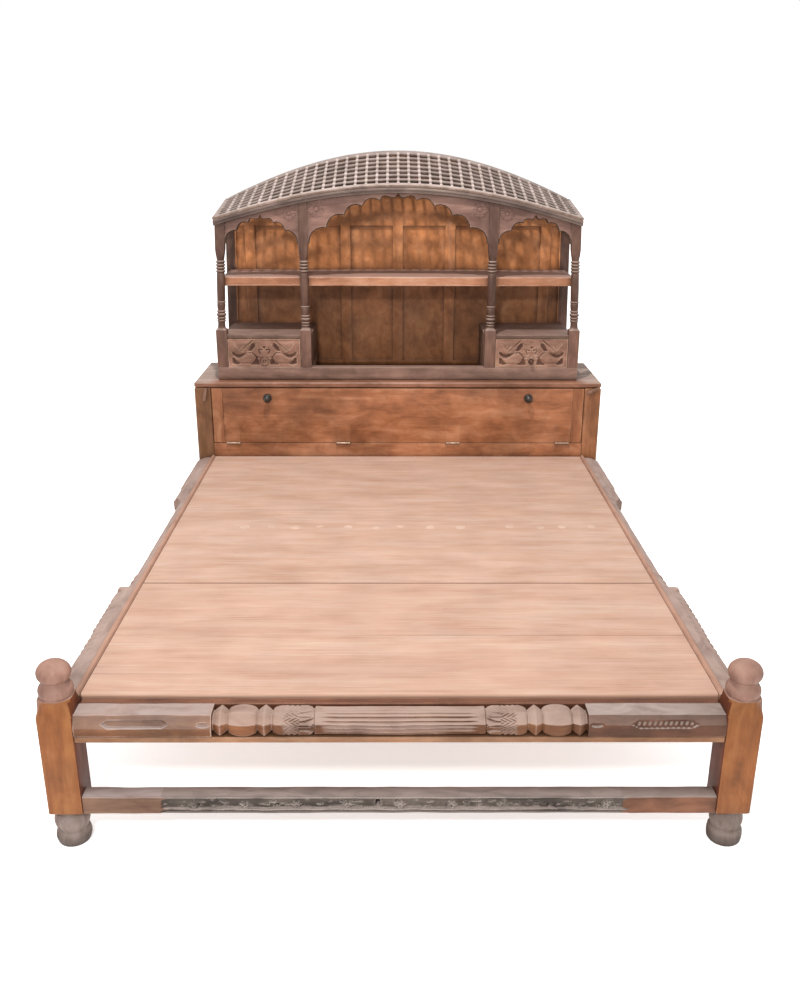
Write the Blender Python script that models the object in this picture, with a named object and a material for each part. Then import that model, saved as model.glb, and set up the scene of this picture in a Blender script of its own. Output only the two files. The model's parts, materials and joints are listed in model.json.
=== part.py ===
"""Carved teak bed with a drop-front storage chest and an arcaded cabinet at its head.

Metres, +Z up. The origin is on the floor under the middle of the whole bed. The foot of the
bed looks along -Y and the head along +Y, so a viewer at the foot has +X on the right.
"""
from math import acos
from math import cos
from math import pi
from math import radians
from math import sin
from math import sqrt

import bmesh
import bpy

# Clearances
SEAT = 0.0003              # gap between two pieces that touch
PANEL_GAP = 0.0008         # loose fit of the platform panels beside their cleats
PANEL_SEAM = 0.004         # open seam between the two platform panels
FLAP_CLEAR = 0.002         # running gap round the drop-front flap
DRAWER_CLEAR = 0.0015      # running gap round a drawer front

# Platform
PLATFORM_WIDTH = 1.61
PLATFORM_LENGTH = 2.00
PLATFORM_TOP = 0.392
PLATFORM_THICK = 0.025
FRONT_PANEL_LENGTH = 0.667
PLANK_WIDTH = 0.145
PLANK_GROOVE = 0.0022

# Frame at the foot
POST_SIZE = 0.088
POST_OVERHANG = 0.006      # how far a foot post stands out past the chest
POST_SHOULDER = 0.4295     # height of the square part's top
FINIAL_TOP = 0.521
FOOT_HEIGHT = 0.1025       # turned bun foot
FOOT_RADIUS = 0.045
RAIL_SETBACK = 0.002
RAIL_DEPTH = 0.067
RAIL_HEIGHT = 0.055
RAIL_DROP = 0.006          # rail top below the platform top
BATTEN_HEIGHT = 0.016
FOOT_BOARD_THICK = 0.025
FOOT_BOARD_DROP = 0.007
FOOT_BOARD_GAP = 0.0055    # shadow gap in front of the platform
STRETCHER_BOTTOM = 0.101
STRETCHER_HEIGHT = 0.053
STRETCHER_DEPTH = 0.045
STRETCHER_SETBACK = 0.006

# Sides of the platform
CLEAT_BEAD = 0.019         # strip that shows beside the platform
CLEAT_RISE = 0.006         # strip above the platform
CLEAT_LEDGE = 0.040
CLEAT_DEPTH = 0.036        # ledge height below the platform
SIDE_RAIL_DEPTH = 0.063
SIDE_SHAFT_DEPTH = 0.033
SIDE_FOOT_BLOCK = 0.645
SIDE_HEAD_BLOCK = 0.520
SIDE_BEADS = 0.150
JOIST_WIDTH = 0.045
JOIST_HEIGHT = 0.085
JOIST_SPACING = 0.540

# Chest
CHEST_REACH = 0.055        # from a side rail's inner face to the chest's end
CHEST_DEPTH = 0.41
CHEST_HEIGHT = 0.725
CHEST_TOP_THICK = 0.025
CHEST_POST = 0.070
CHEST_WALL = 0.020
CHEST_WALL_INSET = 0.006
CHEST_FLOOR = 0.300        # top of the chest's bottom board
CHEST_FLOOR_THICK = 0.018
CHEST_RAIL_BOTTOM = 0.270
HINGE_RISE = 0.0607        # hinge line above the platform
FLAP_THICK = 0.022
FLAP_BATTEN = 0.048
FLAP_SETBACK = 0.002
KNOB_END_INSET = 0.242
KNOB_DROP = 0.042
KNOB_RADIUS = 0.0185

# Flap hinges
HINGE_WIDTH = 0.060
HINGE_END_INSET = 0.037    # from the end of the flap panel to the outer hinge's middle
FLAP_LEAF = 0.085
RAIL_LEAF = 0.045
LEAF_THICK = 0.002
PIN_RADIUS = 0.0022

# Turn buttons that hold the flap shut
BUTTON_LENGTH = 0.060
BUTTON_WIDTH = 0.013
BUTTON_THICK = 0.008
BUTTON_TAIL = 0.016        # end beyond the pivot
BUTTON_POST_INSET = 0.022  # pivot from the inner edge of the post
BUTTON_DROP = 0.040        # pivot below the chest top
BUTTON_TILT = {-1: -100.0, 1: 22.7}

# Cabinet
CABINET_HEIGHT = 0.942     # chest top to the roof's highest point, at the back
CABINET_END_INSET = 0.0991 # end of the chest to the end of the cabinet
CABINET_SETBACK = 0.05
CABINET_DEPTH = 0.35
PLINTH_HEIGHT = 0.0545
COLUMN_BLOCK = 0.046
COLUMN_HEAD = 0.040
COLUMN_SHAFT = 0.0175
COLUMN_RING = 0.0205
INNER_COLUMN_SHARE = 0.5083 # place of an inner column as a share of the cabinet's half
COLUMN_LEAN = 0.017        # the cabinet narrows by this at each end, base to head
BLOCK_HEIGHT = 0.165
LOWER_TURNING = 0.105
UPPER_TURNING_DROP = 0.120 # start of the upper rings below the springing
UPPER_RINGS = 0.055
COLUMN_NECK = 0.017        # between the upper rings and the square head
STILE_WIDTH = 0.040
BACK_THICK = 0.040
PANEL_RECESS = 0.012
MUNTIN_WIDTH = 0.045
MUNTIN_SHARES = (0.2996, 0.8451) # places of the muntins as shares of the cabinet's half
HEADER_RISE = 0.050        # header of the back above the springing
BACK_SILL = 0.020
SHELF_DROP = 0.140         # shelf top below the springing
SHELF_THICK = 0.038
SHELF_END_INSET = 0.030

# Drawers and their cases
CASE_HEIGHT = 0.195        # chest top to the top of a drawer case
CASE_TOP_THICK = 0.015
CASE_WALL = 0.016
CASE_FRONT_INSET = 0.004
RUNNER_WIDTH = 0.025
GUIDE_HEIGHT = 0.012
DRAWER_INSET = 0.007
DRAWER_FRONT = 0.018
DRAWER_WALL = 0.010
DRAWER_FLOOR = 0.008
DRAWER_SIDE_HEIGHT = 0.095
DRAWER_BACK_GAP = 0.020
DRAWER_KNOB_HEIGHT = 0.026

# Arcade
SPANDREL_THICK = 0.020
SPANDREL_INSET = 0.012
SPRING_DROP = 0.367        # springing of the arches below the roof's highest point
ARCH_FOOT = 0.005
CENTRE_WEB = 0.002         # wood left between the centre arch's tip and the cornice
CENTRE_TIP = 0.023
CENTRE_FOILS = 5
SIDE_WEB = 0.0128
SIDE_TIP = 0.020
SIDE_FOILS = 3
FOIL_SWELL = 0.22          # rise of a foil as a share of its chord
TIP_SWELL = 0.15           # of the ogee at the top of an arch

# Roof
ROOF_FALL = 0.130          # from the back crest to the front crest
FRONT_BOW = 0.131          # rise of the front arch
BACK_BOW = 0.208           # rise of the back arch
BOW_STRAIGHTNESS = 1.3
ROOF_OVERHANG = 0.004
ROOF_THICK = 0.012
CORNICE_HEIGHT = 0.021
CORNICE_LIP = 0.010
CORNICE_DEPTH = 0.060
CORNICE_FILLET = 0.009
CORNICE_STEP = 0.005
LATTICE_BAR = 0.012
LATTICE_PITCH = 0.044
LATTICE_ROW_PITCH = 0.046
LATTICE_EDGE = 0.024

# Facets
POST_SIDES = 16
RAIL_SIDES = 24
KNOB_SIDES = 12
BOW_STATIONS = 40

# Stations across the bed
half_platform = PLATFORM_WIDTH / 2
cleat_in = half_platform + PANEL_GAP
cleat_out = cleat_in + CLEAT_BEAD
rail_in = cleat_out + SEAT
chest_half = rail_in + CHEST_REACH
post_out = chest_half + POST_OVERHANG
post_in = post_out - POST_SIZE
chest_post_in = chest_half - CHEST_POST
flap_half = chest_post_in - FLAP_CLEAR
flap_panel_half = flap_half - FLAP_BATTEN - SEAT

# Stations along the bed
foot_depth = RAIL_SETBACK + RAIL_DEPTH + SEAT + FOOT_BOARD_THICK + FOOT_BOARD_GAP
y_foot = -(foot_depth + PLATFORM_LENGTH + PANEL_GAP + CHEST_DEPTH) / 2
y_rail_back = y_foot + RAIL_SETBACK + RAIL_DEPTH
y_board = y_rail_back + SEAT
y_board_back = y_board + FOOT_BOARD_THICK
y_platform = y_foot + foot_depth
y_chest = y_platform + PLATFORM_LENGTH + PANEL_GAP
y_back = y_chest + CHEST_DEPTH
y_flap = y_chest + FLAP_SETBACK
y_cabinet = y_chest + CABINET_SETBACK
y_cabinet_back = y_cabinet + CABINET_DEPTH
y_panel = y_cabinet_back - BACK_THICK
y_behind_columns = y_cabinet + COLUMN_BLOCK + SEAT
y_column = y_cabinet + COLUMN_BLOCK / 2
y_roof = y_cabinet - CORNICE_LIP

# Heights
rail_top = PLATFORM_TOP - RAIL_DROP
rail_bottom = rail_top - RAIL_HEIGHT
rail_middle = rail_top - RAIL_HEIGHT / 2
batten_bottom = rail_bottom - SEAT - BATTEN_HEIGHT
platform_under = PLATFORM_TOP - PLATFORM_THICK
hinge_z = PLATFORM_TOP + HINGE_RISE
chest_under_top = CHEST_HEIGHT - CHEST_TOP_THICK - SEAT
flap_bottom = hinge_z + FLAP_CLEAR / 2
flap_top = chest_under_top - FLAP_CLEAR
chest_rail_top = hinge_z - FLAP_CLEAR / 2
plinth_bottom = CHEST_HEIGHT + SEAT
plinth_top = plinth_bottom + PLINTH_HEIGHT
column_bottom = plinth_top + SEAT
roof_crest = CHEST_HEIGHT + CABINET_HEIGHT
spring_height = roof_crest - SPRING_DROP
shelf_top = spring_height - SHELF_DROP
header_bottom = spring_height + HEADER_RISE
case_top = CHEST_HEIGHT + CASE_HEIGHT

# Hinge section: the rolled knuckle stands in front of the flush leaf
bore_radius = PIN_RADIUS + SEAT
knuckle_radius = bore_radius + LEAF_THICK
leaf_start = knuckle_radius + SEAT
leaf_pocket = LEAF_THICK + SEAT
y_hinge = y_flap - bore_radius

# Across the cabinet
cabinet_half = chest_half - CABINET_END_INSET
outer_column = cabinet_half - COLUMN_BLOCK / 2
inner_column = INNER_COLUMN_SHARE * cabinet_half
stile_in = cabinet_half - STILE_WIDTH
roof_half = outer_column - COLUMN_LEAN + COLUMN_HEAD / 2 + ROOF_OVERHANG
lane_in = inner_column + COLUMN_BLOCK / 2
lane_out = outer_column - COLUMN_BLOCK / 2
case_in = inner_column - COLUMN_BLOCK / 2
roof_depth = y_cabinet_back - y_roof

FINISHES = {
    "pale_teak": ("E2B595", 0.70, 0.0),
    "oiled_teak": ("B5734A", 0.45, 0.0),
    "worn_carving": ("96755F", 0.65, 0.0),
    "grey_teak": ("7F6F66", 0.80, 0.0),
    "dark_cabinet": ("745C51", 0.60, 0.0),
    "lattice_teak": ("A89388", 0.65, 0.0),
    "back_boards": ("A66C47", 0.55, 0.0),
    "black_iron": ("33302F", 0.45, 0.9),
    "aged_hinge": ("A9836A", 0.40, 0.8),
}


def clear_scene():
    for item in list(bpy.data.objects):
        bpy.data.objects.remove(item, do_unlink=True)


def linear(channel):
    if channel <= 0.04045:
        return channel / 12.92
    return ((channel + 0.055) / 1.055) ** 2.4


def make_finish(name):
    colour, roughness, metallic = FINISHES[name]
    material = bpy.data.materials.new(name)
    material.use_nodes = True
    shader = material.node_tree.nodes["Principled BSDF"]
    rgb = [linear(int(colour[i:i + 2], 16) / 255) for i in (0, 2, 4)]
    shader.inputs["Base Color"].default_value = (*rgb, 1.0)
    shader.inputs["Roughness"].default_value = roughness
    shader.inputs["Metallic"].default_value = metallic
    material.diffuse_color = (*rgb, 1.0)
    return material


def add_group(name, origin):
    """An empty that carries the pieces which move or stand together."""
    empty = bpy.data.objects.new(name, None)
    bpy.context.collection.objects.link(empty)
    empty.location = origin
    return empty


def add_piece(name, bm, finish, origin, group, bevel=0.0, smooth=False):
    """Turn a mesh drawn in the bed's frame into an object with its own origin."""
    bmesh.ops.recalc_face_normals(bm, faces=bm.faces)
    bmesh.ops.translate(bm, verts=bm.verts, vec=[-value for value in origin])
    mesh = bpy.data.meshes.new(name)
    bm.to_mesh(mesh)
    bm.free()
    if smooth:
        mesh.shade_smooth()
        mesh.set_sharp_from_angle(angle=radians(35))
    mesh.materials.append(materials[finish])
    piece = bpy.data.objects.new(name, mesh)
    bpy.context.collection.objects.link(piece)
    piece.parent = group
    piece.location = [a - b for a, b in zip(origin, group.location)]
    if bevel:
        rounding = piece.modifiers.new("rounded_edges", "BEVEL")
        rounding.width = bevel
        rounding.segments = 1
        rounding.limit_method = "ANGLE"
        rounding.angle_limit = radians(40)
    return piece


def join_loops(bm, first, second):
    count = len(first)
    for i in range(count):
        bm.faces.new((first[i], first[(i + 1) % count], second[(i + 1) % count], second[i]))


def loft(rings):
    """Closed skin through rings of equal length, capped at both ends."""
    bm = bmesh.new()
    loops = [[bm.verts.new(point) for point in ring] for ring in rings]
    for first, second in zip(loops, loops[1:]):
        join_loops(bm, first, second)
    bm.faces.new(loops[0])
    bm.faces.new(loops[-1])
    return bm


def along(axis, u, w, station):
    """Place a section's point on a piece that runs along the named axis."""
    if axis == "x":
        return (station, u, w)
    if axis == "y":
        return (u, station, w)
    return (u, w, station)


def prism(outline, axis, start, end):
    return loft([[along(axis, u, w, s) for u, w in outline] for s in (start, end)])


def box(low, high):
    corners = [(low[0], low[1]), (high[0], low[1]), (high[0], high[1]), (low[0], high[1])]
    return prism(corners, "z", low[2], high[2])


def add_board(name, low, high, finish, group, bevel=0.002):
    middle = [(a + b) / 2 for a, b in zip(low, high)]
    return add_piece(name, box(low, high), finish, middle, group, bevel)


def mirrored_board(name, sign, low, high, finish, group, bevel=0.002):
    """A board given on the +X side, placed there or mirrored to the -X side."""
    across = sorted((sign * low[0], sign * high[0]))
    return add_board(name, (across[0], *low[1:]), (across[1], *high[1:]), finish, group, bevel)


def section(roundness, sides, first_angle=0.0, sweep=2 * pi, cut=None):
    """Unit section between a square (0) and a circle (1), as points on equal angles.

    cut trims the +u +w corner by a 45 degree line that meets each side at that height.
    """
    count = sides if sweep > 1.9 * pi else sides + 1
    points = []
    for i in range(count):
        angle = first_angle + sweep * i / sides
        square = 1 / max(abs(cos(angle)), abs(sin(angle)))
        reach = square + (1 - square) * roundness
        if cut is not None and cos(angle) > 0 and sin(angle) > 0:
            reach = min(reach, (1 + cut) / (cos(angle) + sin(angle)))
        points.append((reach * cos(angle), reach * sin(angle)))
    return points


def bead(start, length, radius, swell, steps=4):
    """Stations and radii of a half-round moulding on a turned or carved length."""
    marks = [i / steps for i in range(steps + 1)]
    return [(start + length * t, radius + swell * sin(pi * t)) for t in marks]


def turning(profile, centre, sides):
    """Loft up +Z from (height, half size, roundness) marks, square or round."""
    rings = []
    for height, size, roundness in profile:
        ring = section(roundness, sides)
        rings.append([(centre[0] + size * u, centre[1] + size * w, height) for u, w in ring])
    return rings


def stepped_slab(us, vs, level, place):
    """Closed slab over a grid of cells that stand level(i, j) high, or are open where it is None."""
    bm = bmesh.new()
    points = {}

    def vert(i, j, w):
        key = (i, j, round(w, 7))
        if key not in points:
            points[key] = bm.verts.new(place(us[i], vs[j], w))
        return points[key]

    def height(i, j):
        inside = 0 <= i < len(us) - 1 and 0 <= j < len(vs) - 1
        return (level(i, j) or 0.0) if inside else 0.0

    def between(i, j, low, high):
        around = sorted({height(a, b) for a in (i - 1, i) for b in (j - 1, j)})
        return [w for w in around if low < w < high]

    def wall(p, q, one, two):
        low, high = sorted((one, two))
        if low < high:
            rim = [vert(*p, low), vert(*q, low)]
            rim += [vert(*q, w) for w in between(*q, low, high)]
            rim += [vert(*q, high), vert(*p, high)]
            rim += [vert(*p, w) for w in reversed(between(*p, low, high))]
            bm.faces.new(rim)

    for i in range(-1, len(us) - 1):
        for j in range(-1, len(vs) - 1):
            here = height(i, j)
            corners = ((i, j), (i + 1, j), (i + 1, j + 1), (i, j + 1))
            if here > 0:
                bm.faces.new([vert(*corner, here) for corner in corners])
                bm.faces.new([vert(*corner, 0.0) for corner in corners])
            if j >= 0:
                wall((i + 1, j), (i + 1, j + 1), here, height(i + 1, j))
            if i >= 0:
                wall((i, j + 1), (i + 1, j + 1), here, height(i, j + 1))
    return bm


def side_name(stem, sign):
    return stem + ("_left" if sign < 0 else "_right")


# Roof surface: two bowed arches, the back one higher, joined by straight lines

def bow_drop(x):
    """Share of an arch's rise lost at x: 0 at the middle and 1 at the roof's end."""
    share = (x / roof_half) / BOW_STRAIGHTNESS
    full = sqrt(1 + 1 / BOW_STRAIGHTNESS ** 2) - 1
    return (sqrt(1 + share ** 2) - 1) / full


def roof_under(x, y):
    front = roof_crest - ROOF_FALL - FRONT_BOW * bow_drop(x)
    back = roof_crest - BACK_BOW * bow_drop(x)
    return front + (back - front) * (y - y_roof) / roof_depth - ROOF_THICK


def cornice_under(x):
    return roof_under(x, y_roof) - CORNICE_HEIGHT


def column_lean(z):
    """How far an outer column has come in towards the middle at this height."""
    start = column_bottom + BLOCK_HEIGHT
    share = (z - start) / (cornice_under(roof_half) - start)
    return COLUMN_LEAN * max(0.0, share)


def back_lean(z):
    """How far the ends of the cabinet's back have come in at this height."""
    return COLUMN_LEAN * (z - plinth_bottom) / (roof_under(roof_half, y_cabinet_back) - plinth_bottom)


def back_top(x, y):
    """Leaning end of the back at the roof: its x there and its height."""
    leaning = x - back_lean(roof_under(x, y))
    return leaning, roof_under(leaning, y) - SEAT


# Foot of the bed

def add_foot_post(sign):
    """Square post with a broached shoulder, a ring and a flattened ball, turned in one piece."""
    half = POST_SIZE / 2
    centre = (sign * (post_out - half), y_foot + half)
    bottom = FOOT_HEIGHT + SEAT
    ball = FINIAL_TOP - POST_SHOULDER
    profile = [(bottom, half - 0.004, 0.0), (bottom + 0.005, half, 0.0)]
    profile += [(POST_SHOULDER - 0.030, half, 0.0), (POST_SHOULDER - 0.012, 0.98 * half, 0.4)]
    for share, size in ((0.0, 0.91), (0.07, 0.95), (0.17, 0.97), (0.26, 0.92), (0.33, 0.78)):
        profile.append((POST_SHOULDER + share * ball, size * half, 1.0))
    ball_middle = POST_SHOULDER + 0.65 * ball
    for angle in (-54, -34, -14, 8, 30, 50, 68, 83):
        height = ball_middle + 0.35 * ball * sin(radians(angle))
        profile.append((height, 0.955 * half * cos(radians(angle)), 1.0))
    bm = loft(turning(profile, centre, POST_SIDES))
    origin = (*centre, bottom)
    return add_piece(side_name("foot_post", sign), bm, "oiled_teak", origin, bed_frame, smooth=True)


def add_bun_foot(sign):
    half = POST_SIZE / 2
    centre = (sign * (post_out - half), y_foot + half)
    r = FOOT_RADIUS
    h = FOOT_HEIGHT
    marks = [(0.0, 0.80 * r), (0.03 * h, 0.90 * r)]
    marks += bead(0.06 * h, 0.30 * h, 0.91 * r, 0.08 * r)
    marks += [(0.40 * h, 0.84 * r)]
    marks += bead(0.44 * h, 0.44 * h, 0.85 * r, 0.14 * r)
    marks += [(0.92 * h, 0.74 * r), (h, 0.78 * r)]
    bm = loft(turning([(z, size, 1.0) for z, size in marks], centre, POST_SIDES))
    return add_piece(side_name("bun_foot", sign), bm, "grey_teak", (*centre, 0.0), bed_frame, smooth=True)


def foot_rail_marks():
    """(distance from the post, size, roundness) for one half of the carved rail, post to shaft."""
    marks = [(0.0, 1.0, 0.0), (0.338, 1.0, 0.0), (0.3385, 0.55, 0.2)]
    ball = ((0.0, 0.55), (0.1, 0.80), (0.26, 0.94), (0.5, 1.0), (0.74, 0.94), (0.9, 0.80), (1.0, 0.55))
    ridge = ((0.0, 0.55), (0.5, 0.98), (1.0, 0.55))
    for start, length, shape in ((0.340, 0.034, ridge), (0.376, 0.070, ball), (0.448, 0.034, ridge)):
        marks += [(start + share * length, size, 0.2) for share, size in shape]
    marks += [(0.486, 0.60, 0.2), (0.493, 0.80, 0.2), (0.505, 0.93, 0.2), (0.520, 0.98, 0.2)]
    marks += [(0.560, 0.97, 0.2), (0.585, 0.93, 0.2)]
    return marks


def add_foot_rail():
    """Old carved pillar laid across: blocks, ridges, balls, leaf capitals and a fluted shaft.

    It stays squarish all along, with its upper front corner cut off.
    """
    half_length = post_in - SEAT
    middle_y = y_foot + RAIL_SETBACK + RAIL_DEPTH / 2
    flute_depth = 0.08

    def ring(x, size, roundness, fluted=False):
        points = section(roundness, RAIL_SIDES, cut=0.2)
        dips = [1 - flute_depth * (i % 2) if fluted else 1.0 for i in range(RAIL_SIDES)]
        return [(x, middle_y - size * d * u * RAIL_DEPTH / 2, rail_middle + size * d * w * RAIL_HEIGHT / 2)
                for (u, w), d in zip(points, dips)]

    marks = foot_rail_marks()
    rings = [ring(-half_length + s, size, roundness) for s, size, roundness in marks]
    shaft = half_length - marks[-1][0] - 0.004
    for x, size in ((-shaft, 0.90), (-shaft + 0.02, 0.91), (0.0, 0.95), (shaft - 0.02, 0.91), (shaft, 0.90)):
        rings.append(ring(x, size, 0.25, fluted=True))
    rings += [ring(half_length - s, size, roundness) for s, size, roundness in reversed(marks)]
    add_piece("foot_rail", loft(rings), "worn_carving", (0.0, middle_y, rail_middle), bed_frame, smooth=True)


def add_foot_frame():
    across = post_in - SEAT
    rail_front = y_foot + RAIL_SETBACK
    add_board("foot_rail_batten", (-across, rail_front, batten_bottom),
              (across, y_rail_back, batten_bottom + BATTEN_HEIGHT), "oiled_teak", bed_frame)
    add_board("foot_back_board", (-across, y_board, batten_bottom),
              (across, y_board_back, PLATFORM_TOP - FOOT_BOARD_DROP), "oiled_teak", bed_frame)
    low = STRETCHER_BOTTOM
    front = y_foot + STRETCHER_SETBACK
    add_board("foot_stretcher", (-across, front, low),
              (across, front + STRETCHER_DEPTH, low + STRETCHER_HEIGHT), "grey_teak", bed_frame, 0.006)


# Sides and platform

def side_rail_marks(length):
    """(distance from the post, depth, roundness) along a side rail, foot to head."""
    deep = SIDE_RAIL_DEPTH
    thin = SIDE_SHAFT_DEPTH
    block = SIDE_FOOT_BLOCK
    head = length - SIDE_HEAD_BLOCK
    step = SIDE_BEADS / 6
    marks = [(0.0, 0.95 * deep, 0.0), (0.60 * block, 0.95 * deep, 0.0), (0.61 * block, deep, 0.0)]
    marks += [(block, deep, 0.0), (block + step, 0.92 * deep, 0.2), (block + 1.1 * step, 0.66 * deep, 0.4)]
    for start, swell in ((1.3, 0.20), (2.9, 0.14), (4.4, 0.12)):
        marks += [(s, size, 1.0) for s, size in bead(block + start * step, 1.3 * step, thin, swell * thin)]
    marks += [(block + 6 * step, 0.95 * thin, 1.0), (head - 0.040, thin, 1.0)]
    marks += [(head - 0.020, 1.2 * thin, 0.8), (head - 0.004, 0.86 * deep, 0.3), (head, 0.93 * deep, 0.0)]
    marks += [(head + 0.16, deep, 0.0), (length, 0.97 * deep, 0.0)]
    return marks


def add_side_rail(sign):
    """Old carved pillar split lengthwise, its flat face against the cleat."""
    start = y_foot + POST_SIZE + SEAT
    rings = []
    for s, depth, roundness in side_rail_marks(y_chest - SEAT - start):
        tall = RAIL_HEIGHT / 2 * (1.0 - 0.09 * roundness)
        half = section(roundness, 8, -pi / 2, pi, cut=0.414 if roundness == 0.0 else None)
        rings.append([(sign * (rail_in + depth * u), start + s, rail_middle + tall * w) for u, w in half])
    middle = (sign * rail_in, start, rail_middle)
    add_piece(side_name("side_rail", sign), loft(rings), "worn_carving", middle, bed_frame)


def add_side_cleat(sign):
    """L-shaped cleat: its ledge carries the platform and its edge shows as a bead beside it."""
    ledge_top = platform_under - SEAT
    ledge_in = cleat_in - CLEAT_LEDGE
    bottom = ledge_top - CLEAT_DEPTH
    top = PLATFORM_TOP + CLEAT_RISE
    soft = 0.3 * CLEAT_BEAD
    outline = [(ledge_in, bottom), (cleat_out, bottom), (cleat_out, top - soft), (cleat_out - soft, top),
               (cleat_in + soft, top), (cleat_in, top - soft), (cleat_in, ledge_top), (ledge_in, ledge_top)]
    outline = [(sign * u, w) for u, w in outline]
    bm = prism(outline, "y", y_board_back + SEAT, y_chest - SEAT)
    origin = (sign * cleat_in, y_platform, ledge_top)
    add_piece(side_name("side_cleat", sign), bm, "worn_carving", origin, bed_frame)


def add_joist(sign):
    x = sign * JOIST_SPACING / 2
    top = platform_under - SEAT
    add_board(side_name("platform_joist", sign),
              (x - JOIST_WIDTH / 2, y_board_back + SEAT, top - JOIST_HEIGHT),
              (x + JOIST_WIDTH / 2, y_chest - SEAT, top), "oiled_teak", bed_frame, 0.0)


def add_platform_panel(name, start, end):
    """Panel of edge-jointed planks, with a V groove at each joint."""
    planks = max(2, round((end - start) / PLANK_WIDTH))
    width = (end - start) / planks
    soft = PLANK_GROOVE
    top = PLATFORM_TOP
    outline = [(start, platform_under), (end, platform_under), (end, top - soft), (end - soft, top)]
    for k in range(planks - 1, 0, -1):
        joint = start + k * width
        outline += [(joint + soft / 2, top), (joint, top - soft), (joint - soft / 2, top)]
    outline += [(start + soft, top), (start, top - soft)]
    bm = prism(outline, "x", -half_platform, half_platform)
    add_piece(name, bm, "pale_teak", (0.0, start, PLATFORM_TOP), bed_frame)


def add_platform():
    seam = y_platform + FRONT_PANEL_LENGTH
    add_platform_panel("platform_front_panel", y_platform, seam - PANEL_SEAM / 2)
    add_platform_panel("platform_rear_panel", seam + PANEL_SEAM / 2, y_platform + PLATFORM_LENGTH)


# Chest

def add_chest_case():
    inner = chest_post_in - SEAT
    wall_out = chest_half - CHEST_WALL_INSET
    wall_in = wall_out - CHEST_WALL
    rail_back = y_flap + FLAP_THICK
    y_mid_front = y_chest + CHEST_POST + SEAT
    y_mid_back = y_back - CHEST_POST - SEAT
    back_face = y_back - CHEST_WALL_INSET
    floor_under = CHEST_FLOOR - CHEST_FLOOR_THICK
    for sign in (-1, 1):
        for stem, y in (("chest_front_post", y_chest), ("chest_back_post", y_back - CHEST_POST)):
            mirrored_board(side_name(stem, sign), sign, (chest_post_in, y, 0.0),
                           (chest_half, y + CHEST_POST, chest_under_top), "oiled_teak", chest, 0.004)
        mirrored_board(side_name("chest_side", sign), sign, (wall_in, y_mid_front, floor_under),
                       (wall_out, y_mid_back, chest_under_top), "oiled_teak", chest)
    add_board("chest_back", (-inner, back_face - CHEST_WALL, floor_under),
              (inner, back_face, chest_under_top), "oiled_teak", chest)
    front = rail_back + SEAT
    back = back_face - CHEST_WALL - SEAT
    wide = wall_in - SEAT
    notched = [(-inner, front), (inner, front), (inner, y_mid_front), (wide, y_mid_front),
               (wide, y_mid_back), (inner, y_mid_back), (inner, back), (-inner, back),
               (-inner, y_mid_back), (-wide, y_mid_back), (-wide, y_mid_front), (-inner, y_mid_front)]
    add_piece("chest_bottom", prism(notched, "z", floor_under, CHEST_FLOOR), "oiled_teak",
              (0.0, y_chest, CHEST_FLOOR), chest)
    add_board("chest_top", (-chest_half, y_chest, CHEST_HEIGHT - CHEST_TOP_THICK),
              (chest_half, y_back, CHEST_HEIGHT), "dark_cabinet", chest, 0.006)


def hinge_middles():
    outer = flap_panel_half - HINGE_END_INSET
    return [outer * k / 3 for k in (-3, -1, 1, 3)]


def pocket_marks(edge):
    """X stations of a board of the given half length with a pocket for each hinge leaf."""
    pocket = HINGE_WIDTH / 2 + SEAT
    marks = [-edge]
    for x in hinge_middles():
        marks += [x - pocket, x + pocket]
    return marks + [edge]


def add_chest_front_rail():
    """Rail under the flap, with a pocket at its top edge for each hinge leaf."""
    rail_back = y_flap + FLAP_THICK
    pocket_bottom = hinge_z - RAIL_LEAF - SEAT
    us = pocket_marks(chest_post_in - SEAT)
    vs = [CHEST_RAIL_BOTTOM, pocket_bottom, chest_rail_top]
    deep = FLAP_THICK
    bm = stepped_slab(us, vs, lambda i, j: deep - leaf_pocket if i % 2 and j == 1 else deep,
                      lambda u, v, w: (u, rail_back - w, v))
    add_piece("chest_front_rail", bm, "oiled_teak", (0.0, rail_back, chest_rail_top), chest)


def add_flap():
    """Drop-front flap: a panel between two end battens, with a pocket for each hinge leaf."""
    back = y_flap + FLAP_THICK
    us = pocket_marks(flap_panel_half)
    vs = [flap_bottom, hinge_z + FLAP_LEAF + SEAT, flap_top]
    bm = stepped_slab(us, vs, lambda i, j: FLAP_THICK - leaf_pocket if i % 2 and j == 0 else FLAP_THICK,
                      lambda u, v, w: (u, back - w, v))
    axis = tuple(flap_axis.location)
    add_piece("flap_panel", bm, "oiled_teak", axis, flap_axis)
    for sign in (-1, 1):
        mirrored_board(side_name("flap_batten", sign), sign, (flap_half - FLAP_BATTEN, y_flap, flap_bottom),
                       (flap_half, back, flap_top), "oiled_teak", flap_axis)
        knob_at = (sign * (flap_half - KNOB_END_INSET), y_flap - SEAT, flap_top - KNOB_DROP)
        add_knob(side_name("flap_knob", sign), knob_at, KNOB_RADIUS, flap_axis)


def add_knob(name, face_point, radius, group):
    """Iron knob on a round backplate, turned about an axis that points to the foot of the bed."""
    marks = [(0.0, 1.0 * radius), (0.10 * radius, 1.0 * radius), (0.22 * radius, 0.80 * radius)]
    marks += [(0.34 * radius, 0.42 * radius), (0.60 * radius, 0.42 * radius)]
    marks += [(1.15 * radius + 0.62 * radius * sin(radians(a)), 0.80 * radius * cos(radians(a)))
              for a in (-50, -25, 0, 25, 50, 75)]
    rings = []
    for out, size in marks:
        y = face_point[1] - out
        ring = section(1.0, KNOB_SIDES)
        rings.append([(face_point[0] + size * u, y, face_point[2] + size * w) for u, w in ring])
    return add_piece(name, loft(rings), "black_iron", face_point, group, smooth=True)


def arc(radius, start, end, steps):
    angles = [radians(start + (end - start) * k / steps) for k in range(steps + 1)]
    return [(radius * cos(a), radius * sin(a)) for a in angles]


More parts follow.
